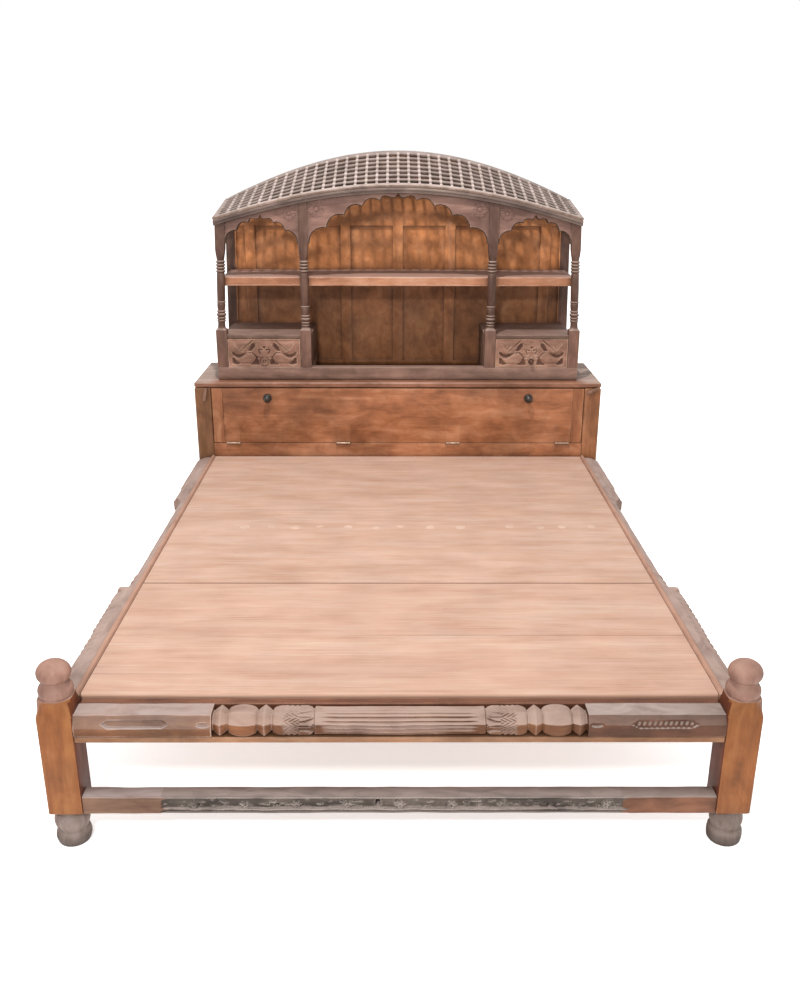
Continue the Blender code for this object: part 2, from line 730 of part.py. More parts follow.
def knuckled_leaf(plate_end, knuckle, spans):
    """Leaf in its own frame, +Y into the wood and the plate along +Z: a plate that carries knuckles.

    knuckle is the outline below the plate, from its front edge round to its back edge.
    """
    marks = sorted({-HINGE_WIDTH / 2, HINGE_WIDTH / 2, *[x for span in spans for x in span]})
    plate = [(bore_radius, plate_end), (bore_radius, leaf_start), (knuckle_radius, leaf_start),
             (knuckle_radius, plate_end)]
    bm = bmesh.new()
    rows = [[bm.verts.new((x, u, w)) for u, w in plate] for x in marks]
    for k, (one, two) in enumerate(zip(rows, rows[1:])):
        for a, b in ((0, 1), (2, 3), (3, 0)):
            bm.faces.new((one[a], one[b], two[b], two[a]))
        if (marks[k], marks[k + 1]) not in spans:
            bm.faces.new((one[1], one[2], two[2], two[1]))
            continue
        near = [one[1], *[bm.verts.new((marks[k], u, w)) for u, w in knuckle], one[2]]
        far = [two[1], *[bm.verts.new((marks[k + 1], u, w)) for u, w in knuckle], two[2]]
        for i in range(len(near) - 1):
            bm.faces.new((near[i], near[i + 1], far[i + 1], far[i]))
        bm.faces.new(near)
        bm.faces.new(far)
    bm.faces.new(rows[0])
    bm.faces.new(rows[-1])
    return bm


def add_hinge(index, x):
    """Butt hinge let in flush: two rolled knuckles on the flap, one with the pin on the rail."""
    third = HINGE_WIDTH / 6
    half = HINGE_WIDTH / 2
    running = SEAT
    curl = [(bore_radius, 0.0), *arc(bore_radius, -15, -285, 9), *arc(knuckle_radius, -285, -15, 9),
            (knuckle_radius, 0.0)]
    flap_spans = [(-half, -third - running), (third + running, half)]
    leaf = knuckled_leaf(FLAP_LEAF, curl, flap_spans)
    origin = (x, y_hinge, hinge_z)
    bmesh.ops.translate(leaf, verts=leaf.verts, vec=origin)
    add_piece(f"flap_hinge_leaf_{index}", leaf, "aged_hinge", origin, flap_axis)
    meet = 180 / pi * acos(bore_radius / knuckle_radius)
    eye = arc(knuckle_radius, meet - 360, 0, 12)
    leaf = knuckled_leaf(RAIL_LEAF, eye, [(-third, third)])
    for vert in leaf.verts:
        vert.co.z = -vert.co.z
    bmesh.ops.translate(leaf, verts=leaf.verts, vec=origin)
    rail_leaf = add_piece(f"rail_hinge_leaf_{index}", leaf, "aged_hinge", origin, chest)
    pin_ring = [(u * PIN_RADIUS, w * PIN_RADIUS) for u, w in section(1.0, 10)]
    pin = prism([(origin[1] + u, origin[2] + w) for u, w in pin_ring], "x", x - half, x + half)
    cutter = add_piece(f"hinge_pin_{index}", pin, "aged_hinge", origin, chest)
    cutter.hide_render = True
    cutter.display_type = "WIRE"
    union = rail_leaf.modifiers.new("pin", "BOOLEAN")
    union.operation = "UNION"
    union.object = cutter


def add_turn_button(sign):
    """Wooden turn button on a screw through its pivot, turned clear of the flap at rest."""
    x = sign * (chest_post_in + BUTTON_POST_INSET)
    origin = (x, y_chest - SEAT, CHEST_HEIGHT - BUTTON_DROP)
    half = BUTTON_WIDTH / 2
    reach = BUTTON_LENGTH - BUTTON_TAIL
    outline = [(reach - half + half * u, half * w) for u, w in arc(1.0, -90, 90, 6)]
    outline += [(-BUTTON_TAIL + half + half * u, half * w) for u, w in arc(1.0, 90, 270, 6)]
    turn = radians(BUTTON_TILT[sign])
    outline = [(origin[0] + u * cos(turn) - w * sin(turn), origin[2] + u * sin(turn) + w * cos(turn))
               for u, w in outline]
    bm = prism(outline, "y", origin[1] - BUTTON_THICK, origin[1])
    add_piece(side_name("turn_button", sign), bm, "lattice_teak", origin, chest)


# Cabinet

def column_profile():
    """(height above the plinth, half size, roundness) up to the head, which meets the cornice."""
    block = COLUMN_BLOCK / 2
    shaft = COLUMN_SHAFT
    swell = COLUMN_RING - shaft
    low = BLOCK_HEIGHT
    turned = LOWER_TURNING
    profile = [(0.0, block, 0.0), (low - 0.006, block, 0.0), (low, 0.80 * block, 1.0)]
    for share, length in ((0.08, 0.09), (0.19, 0.10), (0.31, 0.14), (0.47, 0.08), (0.84, 0.08)):
        ring = bead(low + share * turned, length * turned, 0.95 * shaft, swell, 2)
        profile += [(z, r, 1.0) for z, r in ring]
    rings_start = spring_height - UPPER_TURNING_DROP - column_bottom
    head_start = rings_start + UPPER_RINGS + COLUMN_NECK
    profile += [(rings_start - 0.004, 0.97 * shaft, 1.0)]
    for k in range(4):
        start = rings_start + k * UPPER_RINGS / 4
        profile += [(z, r, 1.0) for z, r in bead(start, 0.22 * UPPER_RINGS, 0.92 * shaft, swell, 2)]
    profile += [(head_start - 0.7 * COLUMN_NECK, 0.92 * shaft, 1.0), (head_start, 0.45 * COLUMN_HEAD, 0.25)]
    profile += [(head_start + 1.4 * COLUMN_NECK, COLUMN_HEAD / 2, 0.0)]
    return profile


def add_column(name, x):
    profile = [(column_bottom + z, size, roundness) for z, size, roundness in column_profile()]
    rings = turning(profile, (x, y_column), POST_SIDES)
    rings.append([(u, w, cornice_under(abs(u) + COLUMN_LEAN)) for u, w, _ in rings[-1]])
    if abs(x) > inner_column:
        inward = -1 if x > 0 else 1
        rings = [[(u + inward * column_lean(z), w, z) for u, w, z in ring] for ring in rings]
    rings[-1] = [(u, w, cornice_under(u) - SEAT) for u, w, _ in rings[-1]]
    bm = loft(rings)
    add_piece(name, bm, "dark_cabinet", (x, y_column, column_bottom), cabinet, smooth=True)


def mirror_marks(marks):
    return sorted([-x for x in marks] + list(marks))


def add_cabinet_base():
    """Plinth rail with four runners behind it; ribs beside the drawers guide them."""
    wall = case_in + CASE_WALL + SEAT
    guide = lane_in - DRAWER_CLEAR
    marks = [case_in, wall, guide, lane_in + RUNNER_WIDTH, lane_out - RUNNER_WIDTH, cabinet_half]
    us = mirror_marks(marks)
    vs = [y_cabinet, y_cabinet + COLUMN_BLOCK, y_panel - SEAT]
    tall = {1: PLINTH_HEIGHT, 2: PLINTH_HEIGHT + GUIDE_HEIGHT, 3: PLINTH_HEIGHT, 5: PLINTH_HEIGHT}

    def level(i, j):
        if j == 0:
            return PLINTH_HEIGHT
        mirrored = i - 5 if i > 5 else 5 - i
        return tall.get(mirrored)

    bm = stepped_slab(us, vs, level, lambda u, v, w: (u, v, plinth_bottom + w))
    add_piece("cabinet_base", bm, "dark_cabinet", (0.0, y_cabinet, plinth_bottom), cabinet)


def add_drawer_case(sign):
    """Top board with a tongue between the columns, on an inner and an outer wall."""
    wall = case_in + CASE_WALL
    outer = lane_out + DRAWER_CLEAR
    us = [case_in, wall, lane_in + SEAT, lane_out - SEAT, outer, outer + CASE_WALL]
    vs = [y_cabinet + CASE_FRONT_INSET, y_behind_columns, y_panel - SEAT]
    down = case_top - plinth_top - SEAT

    def level(i, j):
        if j == 0:
            return CASE_TOP_THICK if i == 2 else None
        return down if i in (0, 4) else CASE_TOP_THICK

    bm = stepped_slab(us, vs, level, lambda u, v, w: (sign * u, v, case_top - w))
    origin = (sign * case_in, y_behind_columns, case_top)
    add_piece(side_name("drawer_case", sign), bm, "dark_cabinet", origin, cabinet)


def add_drawer(sign):
    """Open box behind a front board; it runs on the plinth rail and its runners."""
    front = y_cabinet + DRAWER_INSET
    back = y_panel - DRAWER_BACK_GAP
    bottom = plinth_top + SEAT
    front_height = case_top - CASE_TOP_THICK - DRAWER_CLEAR - bottom
    left = lane_in + DRAWER_CLEAR
    right = lane_out - DRAWER_CLEAR
    inset = 0.001
    us = [left, left + inset, left + inset + DRAWER_WALL, right - inset - DRAWER_WALL, right - inset, right]
    vs = [front, front + DRAWER_FRONT, back - DRAWER_WALL, back]

    def level(i, j):
        if j == 0:
            return front_height
        if i in (0, 4):
            return None
        return DRAWER_FLOOR if (i, j) == (2, 1) else DRAWER_SIDE_HEIGHT

    bm = stepped_slab(us, vs, level, lambda u, v, w: (sign * u, v, bottom + w))
    middle = sign * (left + right) / 2
    add_piece(side_name("drawer", sign), bm, "worn_carving", (middle, front, bottom), cabinet)
    if sign > 0:
        knob_at = (middle, front - SEAT, bottom + DRAWER_KNOB_HEIGHT)
        add_knob("drawer_knob", knob_at, 0.65 * KNOB_RADIUS, cabinet)


def add_cabinet_back():
    """Framed back: muntins and an arched header round recessed panels."""
    edge = stile_in - SEAT
    half = MUNTIN_WIDTH / 2
    marks = [half]
    for share in MUNTIN_SHARES:
        marks += [share * cabinet_half - half, share * cabinet_half + half]
    marks += [edge - 0.25 * half, edge]
    us = mirror_marks(marks)
    sill = plinth_bottom + BACK_SILL
    vs = [plinth_bottom, sill, header_bottom, None]

    def level(i, j):
        return BACK_THICK - PANEL_RECESS if i % 2 and j == 1 else BACK_THICK

    def place(u, v, w):
        y = y_cabinet_back - w
        if abs(u) < marks[-2]:
            return (u, y, roof_under(u, y) - SEAT if v is None else v)
        inward, z = back_top(abs(u), y) if v is None else (abs(u) - back_lean(v), v)
        return (inward if u > 0 else -inward, y, z)

    bm = stepped_slab(us, vs, level, place)
    add_piece("cabinet_back", bm, "back_boards", (0.0, y_panel, plinth_bottom), cabinet)


def add_back_stile(sign):
    outline = [(stile_in, y_panel), (cabinet_half, y_panel),
               (cabinet_half, y_cabinet_back), (stile_in, y_cabinet_back)]
    bottom = [(sign * x, y, plinth_bottom) for x, y in outline]
    tops = [(*back_top(x, y), y) for x, y in outline]
    top = [(sign * x, y, z) for x, z, y in tops]
    origin = (sign * stile_in, y_panel, plinth_bottom)
    add_piece(side_name("back_stile", sign), loft([bottom, top]), "dark_cabinet", origin, cabinet)


def swollen(start, end, swell, steps=6):
    """Points after start, up to end, on an arc that swells to the left of the chord."""
    du = end[0] - start[0]
    dw = end[1] - start[1]
    points = []
    for k in range(1, steps + 1):
        t = k / steps
        push = swell * 4 * t * (1 - t)
        points.append((start[0] + du * t - dw * push, start[1] + dw * t + du * push))
    return points


def ogee(start, end, steps=6):
    """Points after start, up to end, on an S that swells upward first and then sinks to a tip."""
    du = end[0] - start[0]
    dw = end[1] - start[1]
    points = []
    for k in range(1, steps + 1):
        t = k / steps
        push = TIP_SWELL * sin(2 * pi * t)
        outward = -dw * push if du > 0 else dw * push
        points.append((start[0] + du * t + outward, start[1] + dw * t + abs(du) * push))
    return points


def foiled_arch(middle, half, rise, tip, foils):
    """Cusped arch from left to right: cusps on a parabola, a foil between each pair, a pointed top."""
    cusps = []
    for k in range(-foils, foils + 1):
        share = k / foils
        height = spring_height + rise * (1 - share ** 2) + (tip if k == 0 else 0.0)
        cusps.append((middle + half * share, height))
    points = [cusps[0]]
    for k, (start, end) in enumerate(zip(cusps, cusps[1:]), start=1):
        if k == foils:
            points += ogee(start, end)
        elif k == foils + 1:
            points += [*reversed(ogee(end, start)), end][1:]
        else:
            points += swollen(start, end, FOIL_SWELL)
    return points


def add_spandrel(name, left, right, web, tip, foils):
    """Board between two columns with a cusped arch cut in it, under the bowed cornice.

    left and right give the x of its ends at a height, since the outer columns lean.
    """
    low_left = left(spring_height)
    low_right = right(spring_height)
    middle = (low_left + low_right) / 2
    half = (low_right - low_left) / 2 - ARCH_FOOT
    rise = cornice_under(middle) - web - tip - spring_height
    arch = foiled_arch(middle, half, rise, tip, foils)
    outline = [(low_left, spring_height), *arch, (low_right, spring_height)]
    steps = 12
    top_left = left(cornice_under(low_left))
    top_right = right(cornice_under(low_right))
    for k in range(steps + 1):
        x = top_right + (top_left - top_right) * k / steps
        outline.append((x, cornice_under(x) - SEAT))
    front = y_cabinet + SPANDREL_INSET
    bm = prism(outline, "y", front, front + SPANDREL_THICK)
    add_piece(name, bm, "dark_cabinet", (middle, front, spring_height), cabinet)


def add_arcade():
    for name, x in (("column_outer_left", -outer_column), ("column_inner_left", -inner_column),
                    ("column_inner_right", inner_column), ("column_outer_right", outer_column)):
        add_column(name, x)
    face = COLUMN_HEAD / 2 + SEAT
    side_arch = (SIDE_WEB, SIDE_TIP, SIDE_FOILS)
    add_spandrel("spandrel_left", lambda z: -outer_column + column_lean(z) + face,
                 lambda z: -inner_column - face, *side_arch)
    add_spandrel("spandrel_centre", lambda z: -inner_column + face,
                 lambda z: inner_column - face, CENTRE_WEB, CENTRE_TIP, CENTRE_FOILS)
    add_spandrel("spandrel_right", lambda z: inner_column + face,
                 lambda z: outer_column - column_lean(z) - face, *side_arch)


def add_shelf():
    half = cabinet_half - SHELF_END_INSET
    add_board("cabinet_shelf", (-half, y_behind_columns, shelf_top - SHELF_THICK),
              (half, y_panel - SEAT, shelf_top), "back_boards", cabinet, 0.003)


def add_cornice():
    """Bowed rail over the arcade, with a fillet at its top and a step below."""
    rings = []
    back = y_roof + CORNICE_DEPTH
    for k in range(BOW_STATIONS + 1):
        x = roof_half * (2 * k / BOW_STATIONS - 1)
        top = roof_under(x, y_roof) - SEAT
        under = cornice_under(x)
        ring = [(y_roof, top), (y_roof, top - CORNICE_FILLET), (y_roof + CORNICE_STEP, top - CORNICE_FILLET),
                (y_roof + CORNICE_STEP, under), (back, under), (back, roof_under(x, back) - SEAT)]
        rings.append([(x, y, z) for y, z in ring])
    add_piece("cornice", loft(rings), "dark_cabinet", (0.0, y_roof, cornice_under(0.0)), cabinet)


def lattice_marks(low, high, pitch):
    """Edges of the bars and gaps from one edge rail to the other."""
    span = high - low - 2 * LATTICE_EDGE
    gaps = max(2, round((span + LATTICE_BAR) / pitch))
    gap = (span - (gaps - 1) * LATTICE_BAR) / gaps
    marks = [low]
    for k in range(gaps):
        start = low + LATTICE_EDGE + k * (gap + LATTICE_BAR)
        marks += [start, start + gap]
    return marks + [high]


def add_roof_lattice():
    """Bowed and sloping lattice of crossed bars, lapped flush, in its edge rails."""
    us = lattice_marks(-roof_half, roof_half, LATTICE_PITCH)
    vs = lattice_marks(y_roof, y_cabinet_back, LATTICE_ROW_PITCH)
    bm = stepped_slab(us, vs, lambda i, j: None if i % 2 and j % 2 else ROOF_THICK,
                      lambda u, v, w: (u, v, roof_under(u, v) + w))
    add_piece("roof_lattice", bm, "lattice_teak", (0.0, y_roof, roof_under(0.0, y_roof)), cabinet)


clear_scene()
materials = {name: make_finish(name) for name in FINISHES}
bed_frame = add_group("bed_frame", (0.0, 0.0, 0.0))
chest = add_group("storage_chest", (0.0, y_chest, 0.0))
cabinet = add_group("headboard_cabinet", (0.0, y_cabinet, CHEST_HEIGHT))
flap_axis = add_group("flap_hinge_axis", (0.0, y_hinge, hinge_z))

for side in (-1, 1):
    add_foot_post(side)
    add_bun_foot(side)
    add_side_rail(side)
    add_side_cleat(side)
    add_joist(side)
    add_turn_button(side)
    add_drawer_case(side)
    add_drawer(side)
    add_back_stile(side)
add_foot_rail()
add_foot_frame()
add_platform()
add_chest_case()
add_chest_front_rail()
add_flap()
for number, hinge_x in enumerate(hinge_middles(), start=1):
    add_hinge(number, hinge_x)
add_cabinet_base()
add_arcade()
add_shelf()
add_cabinet_back()
add_cornice()
add_roof_lattice()
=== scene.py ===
import json
from math import cos, pi, radians, sin, sqrt

import bmesh
import bpy
import numpy as np
from mathutils import Matrix, Vector, noise

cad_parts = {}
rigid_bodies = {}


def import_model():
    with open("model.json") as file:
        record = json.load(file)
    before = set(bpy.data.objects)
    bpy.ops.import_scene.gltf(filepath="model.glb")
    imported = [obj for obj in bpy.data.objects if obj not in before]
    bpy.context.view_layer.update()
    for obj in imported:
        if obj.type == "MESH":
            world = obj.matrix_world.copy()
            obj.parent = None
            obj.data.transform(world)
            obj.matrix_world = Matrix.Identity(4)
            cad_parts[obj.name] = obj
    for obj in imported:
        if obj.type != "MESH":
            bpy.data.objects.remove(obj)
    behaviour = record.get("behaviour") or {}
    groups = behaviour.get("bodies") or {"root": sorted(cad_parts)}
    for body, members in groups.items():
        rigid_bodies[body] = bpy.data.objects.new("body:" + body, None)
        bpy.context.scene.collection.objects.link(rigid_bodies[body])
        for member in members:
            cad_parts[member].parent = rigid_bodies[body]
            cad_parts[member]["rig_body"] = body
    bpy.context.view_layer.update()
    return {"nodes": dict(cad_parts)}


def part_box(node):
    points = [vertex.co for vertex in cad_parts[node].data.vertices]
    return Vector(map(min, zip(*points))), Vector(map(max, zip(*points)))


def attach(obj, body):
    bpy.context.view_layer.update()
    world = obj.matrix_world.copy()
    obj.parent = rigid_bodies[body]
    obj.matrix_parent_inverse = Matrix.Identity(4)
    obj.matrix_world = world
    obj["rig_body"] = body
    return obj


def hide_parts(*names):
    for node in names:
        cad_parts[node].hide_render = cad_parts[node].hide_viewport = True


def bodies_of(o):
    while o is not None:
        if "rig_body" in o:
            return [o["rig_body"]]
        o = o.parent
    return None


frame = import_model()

# Stations of the bed, in metres, as the frame has them
POST_IN = 0.7981
POST_HALF = 0.044
POST_X = 0.8421
FOOT_Y = -1.2553
PLATFORM_Y = -1.1555
SEAM_Y = -0.4865
BOARD_TONE = 0.0739
RAIL_MIDDLE = 0.3585
RAIL_DEPTH = 0.067
RAIL_HEIGHT = 0.055
RAIL_IN = 0.8251
BLOCK_END = 0.338
LEAF_START = 0.484
LEAF_ENDS = 0.552
SHAFT_START = 0.588
CHEST_Y = 0.8453
FLAP_Y = 0.8473
FLAP_KNOB_X = 0.566
FLAP_KNOB_Z = 0.656
FLAP_KNOB_RADIUS = 0.0185
HINGE_Z = 0.4527
CABINET_Y = 0.8953
ARCH_FACE = CABINET_Y + 0.012
CABINET_BACK = 1.2453
ROOF_Y = 0.8853
ROOF_HALF = 0.765
ROOF_CREST = 1.667
ROOF_FALL = 0.130
FRONT_BOW = 0.131
BACK_BOW = 0.208
# The bow is a hyperbola: its spread as a share of the half width, and its drop at the end
BOW_SPREAD = 1.3
BOW_AT_END = sqrt(1 + 1 / 1.69) - 1
BAR_ROUNDING = 0.0032
ROOF_THICK = 0.012
CORNICE_TALL = 0.021
COLUMN_FOOT = 0.7801
COLUMN_BLOCK = 0.165
COLUMN_Y = 0.9183
OUTER_COLUMN = 0.758
INNER_COLUMN = 0.397
COLUMN_FACE = 0.0203
COLUMN_LEAN = 0.017
SEAT = 0.0003
SPRINGING = 1.300
DRAWER_FACE = 0.9023
DRAWER_MIDDLE = 0.5775
DRAWER_KNOB_Z = 0.8064
DRAWER_KNOB_RADIUS = 0.0120
CARVING_FOOT = 0.7806
# Rosettes beside the arches: distance from the middle, height and radius
ROSETTES = (("centre", 0.338, 1.437, 0.036), ("side", 0.452, 1.420, 0.030))


# Colours and nodes

MATH = "ShaderNodeMath"


def srgb(code):
    """Hex colour to linear light."""
    channels = [int(code[i:i + 2], 16) / 255 for i in (0, 2, 4)]
    return (*[c / 12.92 if c <= 0.04045 else ((c + 0.055) / 1.055) ** 2.4 for c in channels], 1.0)


def add(tree, kind, inputs=(), stops=(), **settings):
    """Add a node, set it up, give its sockets values or links, and return its outputs."""
    made = tree.nodes.new(kind)
    for key, value in settings.items():
        setattr(made, key, value)
    given = inputs if isinstance(inputs, dict) else dict(enumerate(inputs))
    for key, value in given.items():
        sources = value if isinstance(value, list) else [value]
        if isinstance(sources[0], bpy.types.NodeSocket):
            for source in sources:
                tree.links.new(source, made.inputs[key])
        else:
            made.inputs[key].default_value = value
    if stops:
        ramp = made.color_ramp.elements
        ramp.remove(ramp[1])
        ramp[0].position = stops[0][0]
        ramp[0].color = stops[0][1]
        for at, colour in stops[1:]:
            ramp.new(at).color = colour
    return made.outputs


def new_material(name):
    material = bpy.data.materials.new(name)
    material.use_nodes = True
    return material, material.node_tree, material.node_tree.nodes["Principled BSDF"]


def teak(name, tones, grain, streaky=0.35, streak_mm=9, blotch=0.25, grime_and_shade="2B1A12", grime_and_shade_share=0.6,
         worn="C79C7C", worn_share=0.35, worn_mm=3.5, dust_and_sheen="C9BDB2", dust_and_sheen_share=0.0, dust_and_sheen_from=(0.25, 0.95),
         dust_and_sheen_beyond=None, dust_and_sheen_even=0.55, rough=0.55, wisps=0.0, boards=None, heights=None, curl=1.0,
         waves=1.0, knuckles=False):
    """Teak with its grain along one axis, dirt and painted shade in its hollows, rubbed edges, and a dusting
    with painted sheen on its upper faces.
    """
    material, tree, shader = new_material(name)
    coord = add(tree, "ShaderNodeTexCoord")

    def drawn_out(share):
        scale = [1.0, 1.0, 1.0]
        scale["xyz".index(grain)] = min(1.0, share * curl)
        return add(tree, "ShaderNodeMapping", {"Vector": coord["Object"], "Scale": scale})[0]

    figure = add(tree, "ShaderNodeTexNoise", {"Vector": drawn_out(0.12), "Scale": 1000 / 70, "Detail": 3.0,
                                              "Roughness": 0.55, "Distortion": 0.7 * waves})[0]
    cloud = add(tree, "ShaderNodeTexNoise", {"Vector": drawn_out(0.4), "Scale": 1000 / 48, "Detail": 4.0,
                                             "Roughness": 0.6, "Distortion": 0.8 * waves})[0]
    streaks = add(tree, "ShaderNodeTexNoise", {"Vector": drawn_out(0.05), "Scale": 1000 / streak_mm,
                                               "Detail": 4.0, "Roughness": 0.6,
                                               "Distortion": 0.35 * waves})[0]
    # Pores are 0.3 mm wide in the wood and drawn at 1.8 mm so that they show
    pores = add(tree, "ShaderNodeTexNoise", {"Vector": drawn_out(0.06), "Scale": 1000 / 1.8,
                                             "Detail": 2.0})[0]
    tone = add(tree, MATH, [pores, 0.10], operation="MULTIPLY")[0]
    for pattern, weight in ((figure, 0.36), (cloud, 0.48 - 0.40 * streaky), (streaks, 0.06 + 0.40 * streaky)):
        tone = add(tree, MATH, [pattern, weight, tone], operation="MULTIPLY_ADD")[0]
    colour = add(tree, "ShaderNodeValToRGB", {"Fac": tone},
                 [*zip((0.38, 0.50, 0.62), map(srgb, tones.split()))])[0]
    stain = add(tree, "ShaderNodeTexNoise", {"Vector": coord["Object"], "Scale": 1000 / 190, "Detail": 4.0,
                                             "Roughness": 0.6})[0]
    value = add(tree, "ShaderNodeMapRange", {"Value": stain, "From Min": 0.34, "From Max": 0.66,
                                             "To Min": 1 - blotch, "To Max": 1 + 0.35 * blotch})[0]
    place = add(tree, "ShaderNodeSeparateXYZ", {0: coord["Object"]})
    if boards:
        count = add(tree, MATH, [place[1], boards[0]], operation="SUBTRACT")[0]
        count = add(tree, MATH, [count, boards[1]], operation="DIVIDE")[0]
        count = add(tree, MATH, [count], operation="FLOOR")[0]
        pick = add(tree, "ShaderNodeTexWhiteNoise", {"W": count}, noise_dimensions="1D")["Value"]
        shift = add(tree, "ShaderNodeMapRange", {"Value": pick, "To Min": 0.985, "To Max": 1.015})[0]
        value = add(tree, MATH, [value, shift], operation="MULTIPLY")[0]
    # Colour scaled by height; on some finishes this is painted shade and light
    if heights:
        low, high = heights[0][0], heights[-1][0]
        level = add(tree, "ShaderNodeMapRange", {"Value": place[2], "From Min": low, "From Max": high})[0]
        stops = [((z - low) / (high - low), (share / 2, share / 2, share / 2, 1.0)) for z, share in heights]
        level = add(tree, "ShaderNodeValToRGB", {"Fac": level}, stops)[0]
        value = add(tree, MATH, [value, level], operation="MULTIPLY")[0]
        value = add(tree, MATH, [value, 2.0], operation="MULTIPLY")[0]
    if wisps:
        thin = add(tree, "ShaderNodeTexNoise", {"Vector": drawn_out(0.035), "Scale": 1000 / 3,
                                                "Detail": 2.0})[0]
        thin = add(tree, "ShaderNodeMapRange", {"Value": thin, "From Min": 0.58, "From Max": 0.70,
                                                "To Min": 1.0, "To Max": 1 - wisps})[0]
        value = add(tree, MATH, [value, thin], operation="MULTIPLY")[0]
    colour = add(tree, "ShaderNodeHueSaturation", {"Color": colour, "Value": value})[0]
    # Dirt collects and painted shade darkens where faces meet, and hands rub the edges pale
    open_sky = add(tree, "ShaderNodeAmbientOcclusion", {"Distance": 0.022}, samples=3)["AO"]
    hollow = add(tree, "ShaderNodeMapRange", {"Value": open_sky, "From Min": 0.35, "From Max": 0.92,
                                              "To Min": grime_and_shade_share, "To Max": 0.0})[0]
    colour = add(tree, "ShaderNodeMix", {0: hollow, 6: colour, 7: srgb(grime_and_shade)}, data_type="RGBA")[2]
    facing = add(tree, "ShaderNodeNewGeometry")["Normal"]
    softened = add(tree, "ShaderNodeBevel", {"Radius": worn_mm / 1000}, samples=2)[0]
    match = add(tree, "ShaderNodeVectorMath", {0: facing, 1: softened}, operation="DOT_PRODUCT")["Value"]
    edge = add(tree, "ShaderNodeMapRange", {"Value": match, "From Min": 0.985, "From Max": 0.90,
                                            "To Min": 0.0, "To Max": worn_share})[0]
    edge = add(tree, MATH, [edge, open_sky], operation="MULTIPLY")[0]
    patch = add(tree, "ShaderNodeMapRange", {"Value": stain, "From Min": 0.38, "From Max": 0.55})[0]
    edge = add(tree, MATH, [edge, patch], operation="MULTIPLY")[0]
    colour = add(tree, "ShaderNodeMix", {0: edge, 6: colour, 7: srgb(worn)}, data_type="RGBA")[2]
    roughness = add(tree, "ShaderNodeMapRange", {"Value": tone, "From Min": 0.38, "From Max": 0.62,
                                                 "To Min": rough + 0.10, "To Max": rough - 0.06})[0]
    # Dust and a painted sheen grey the faces that look up
    if dust_and_sheen_share:
        upward = add(tree, "ShaderNodeSeparateXYZ", {0: coord["Normal"]})["Z"]
        upward = add(tree, "ShaderNodeMapRange", {"Value": upward, "From Min": dust_and_sheen_from[0],
                                                  "From Max": dust_and_sheen_from[1], "To Max": dust_and_sheen_share})[0]
        lying = add(tree, "ShaderNodeMapRange", {"Value": cloud, "From Min": 0.30, "From Max": 0.60,
                                                 "To Min": dust_and_sheen_even, "To Max": 1.0})[0]
        lying = add(tree, MATH, [upward, lying], operation="MULTIPLY")[0]
        if dust_and_sheen_beyond:
            aside = add(tree, MATH, [place[0]], operation="ABSOLUTE")[0]
            aside = add(tree, "ShaderNodeMapRange", {"Value": aside, "From Min": dust_and_sheen_beyond - 0.02,
                                                     "From Max": dust_and_sheen_beyond + 0.02})[0]
            lying = add(tree, MATH, [lying, aside], operation="MULTIPLY")[0]
        colour = add(tree, "ShaderNodeMix", {0: lying, 6: colour, 7: srgb(dust_and_sheen)}, data_type="RGBA")[2]
        roughness = add(tree, MATH, [lying, 0.2, roughness], operation="MULTIPLY_ADD")[0]
    # Painted light and shade along the lattice bars, kept on them as the knuckle share
    if knuckles:
        crossing_light = add(tree, "ShaderNodeAttribute", attribute_name="knuckle")["Fac"]
        rubbed = add(tree, "ShaderNodeMapRange", {"Value": crossing_light, "To Min": 0.66, "To Max": 1.30})[0]
        colour = add(tree, "ShaderNodeHueSaturation", {"Color": colour, "Value": rubbed})[0]
    relief = add(tree, MATH, [pores, 0.5, streaks], operation="MULTIPLY_ADD")[0]
    bump = add(tree, "ShaderNodeBump", {"Strength": 0.35, "Distance": 0.0007, "Height": relief})[0]
    tree.links.new(colour, shader.inputs["Base Color"])
    tree.links.new(roughness, shader.inputs["Roughness"])
    tree.links.new(bump, shader.inputs["Normal"])
    shader.inputs["IOR"].default_value = 1.5
    shader.inputs["Specular IOR Level"].default_value = 0.22
    return material


def iron(name, base, bare, rust, metallic, rough):
    """Forged or pressed metal: dark skin, bare rubbed edges and rust in specks."""
    material, tree, shader = new_material(name)
    coord = add(tree, "ShaderNodeTexCoord")["Object"]
    scale = add(tree, "ShaderNodeTexNoise", {"Vector": coord, "Scale": 1000 / 4, "Detail": 4.0})[0]
    colour = add(tree, "ShaderNodeValToRGB", {"Fac": scale},
                 [(0.38, srgb(base)), (0.58, srgb(base)), (0.72, srgb(rust))])[0]
    facing = add(tree, "ShaderNodeNewGeometry")["Normal"]
    softened = add(tree, "ShaderNodeBevel", {"Radius": 0.0015}, samples=4)[0]
    match = add(tree, "ShaderNodeVectorMath", {0: facing, 1: softened}, operation="DOT_PRODUCT")["Value"]
    edge = add(tree, "ShaderNodeMapRange", {"Value": match, "From Min": 0.98, "From Max": 0.85,
                                            "To Max": 0.7})[0]
    colour = add(tree, "ShaderNodeMix", {0: edge, 6: colour, 7: srgb(bare)}, data_type="RGBA")[2]
    roughness = add(tree, "ShaderNodeMapRange", {"Value": scale, "From Min": 0.3, "From Max": 0.7,
                                                 "To Min": rough - 0.08, "To Max": rough + 0.15})[0]
    bump = add(tree, "ShaderNodeBump", {"Strength": 0.3, "Distance": 0.0004, "Height": scale})[0]
    tree.links.new(colour, shader.inputs["Base Color"])
    tree.links.new(roughness, shader.inputs["Roughness"])
    tree.links.new(bump, shader.inputs["Normal"])
    shader.inputs["Metallic"].default_value = metallic
    return material


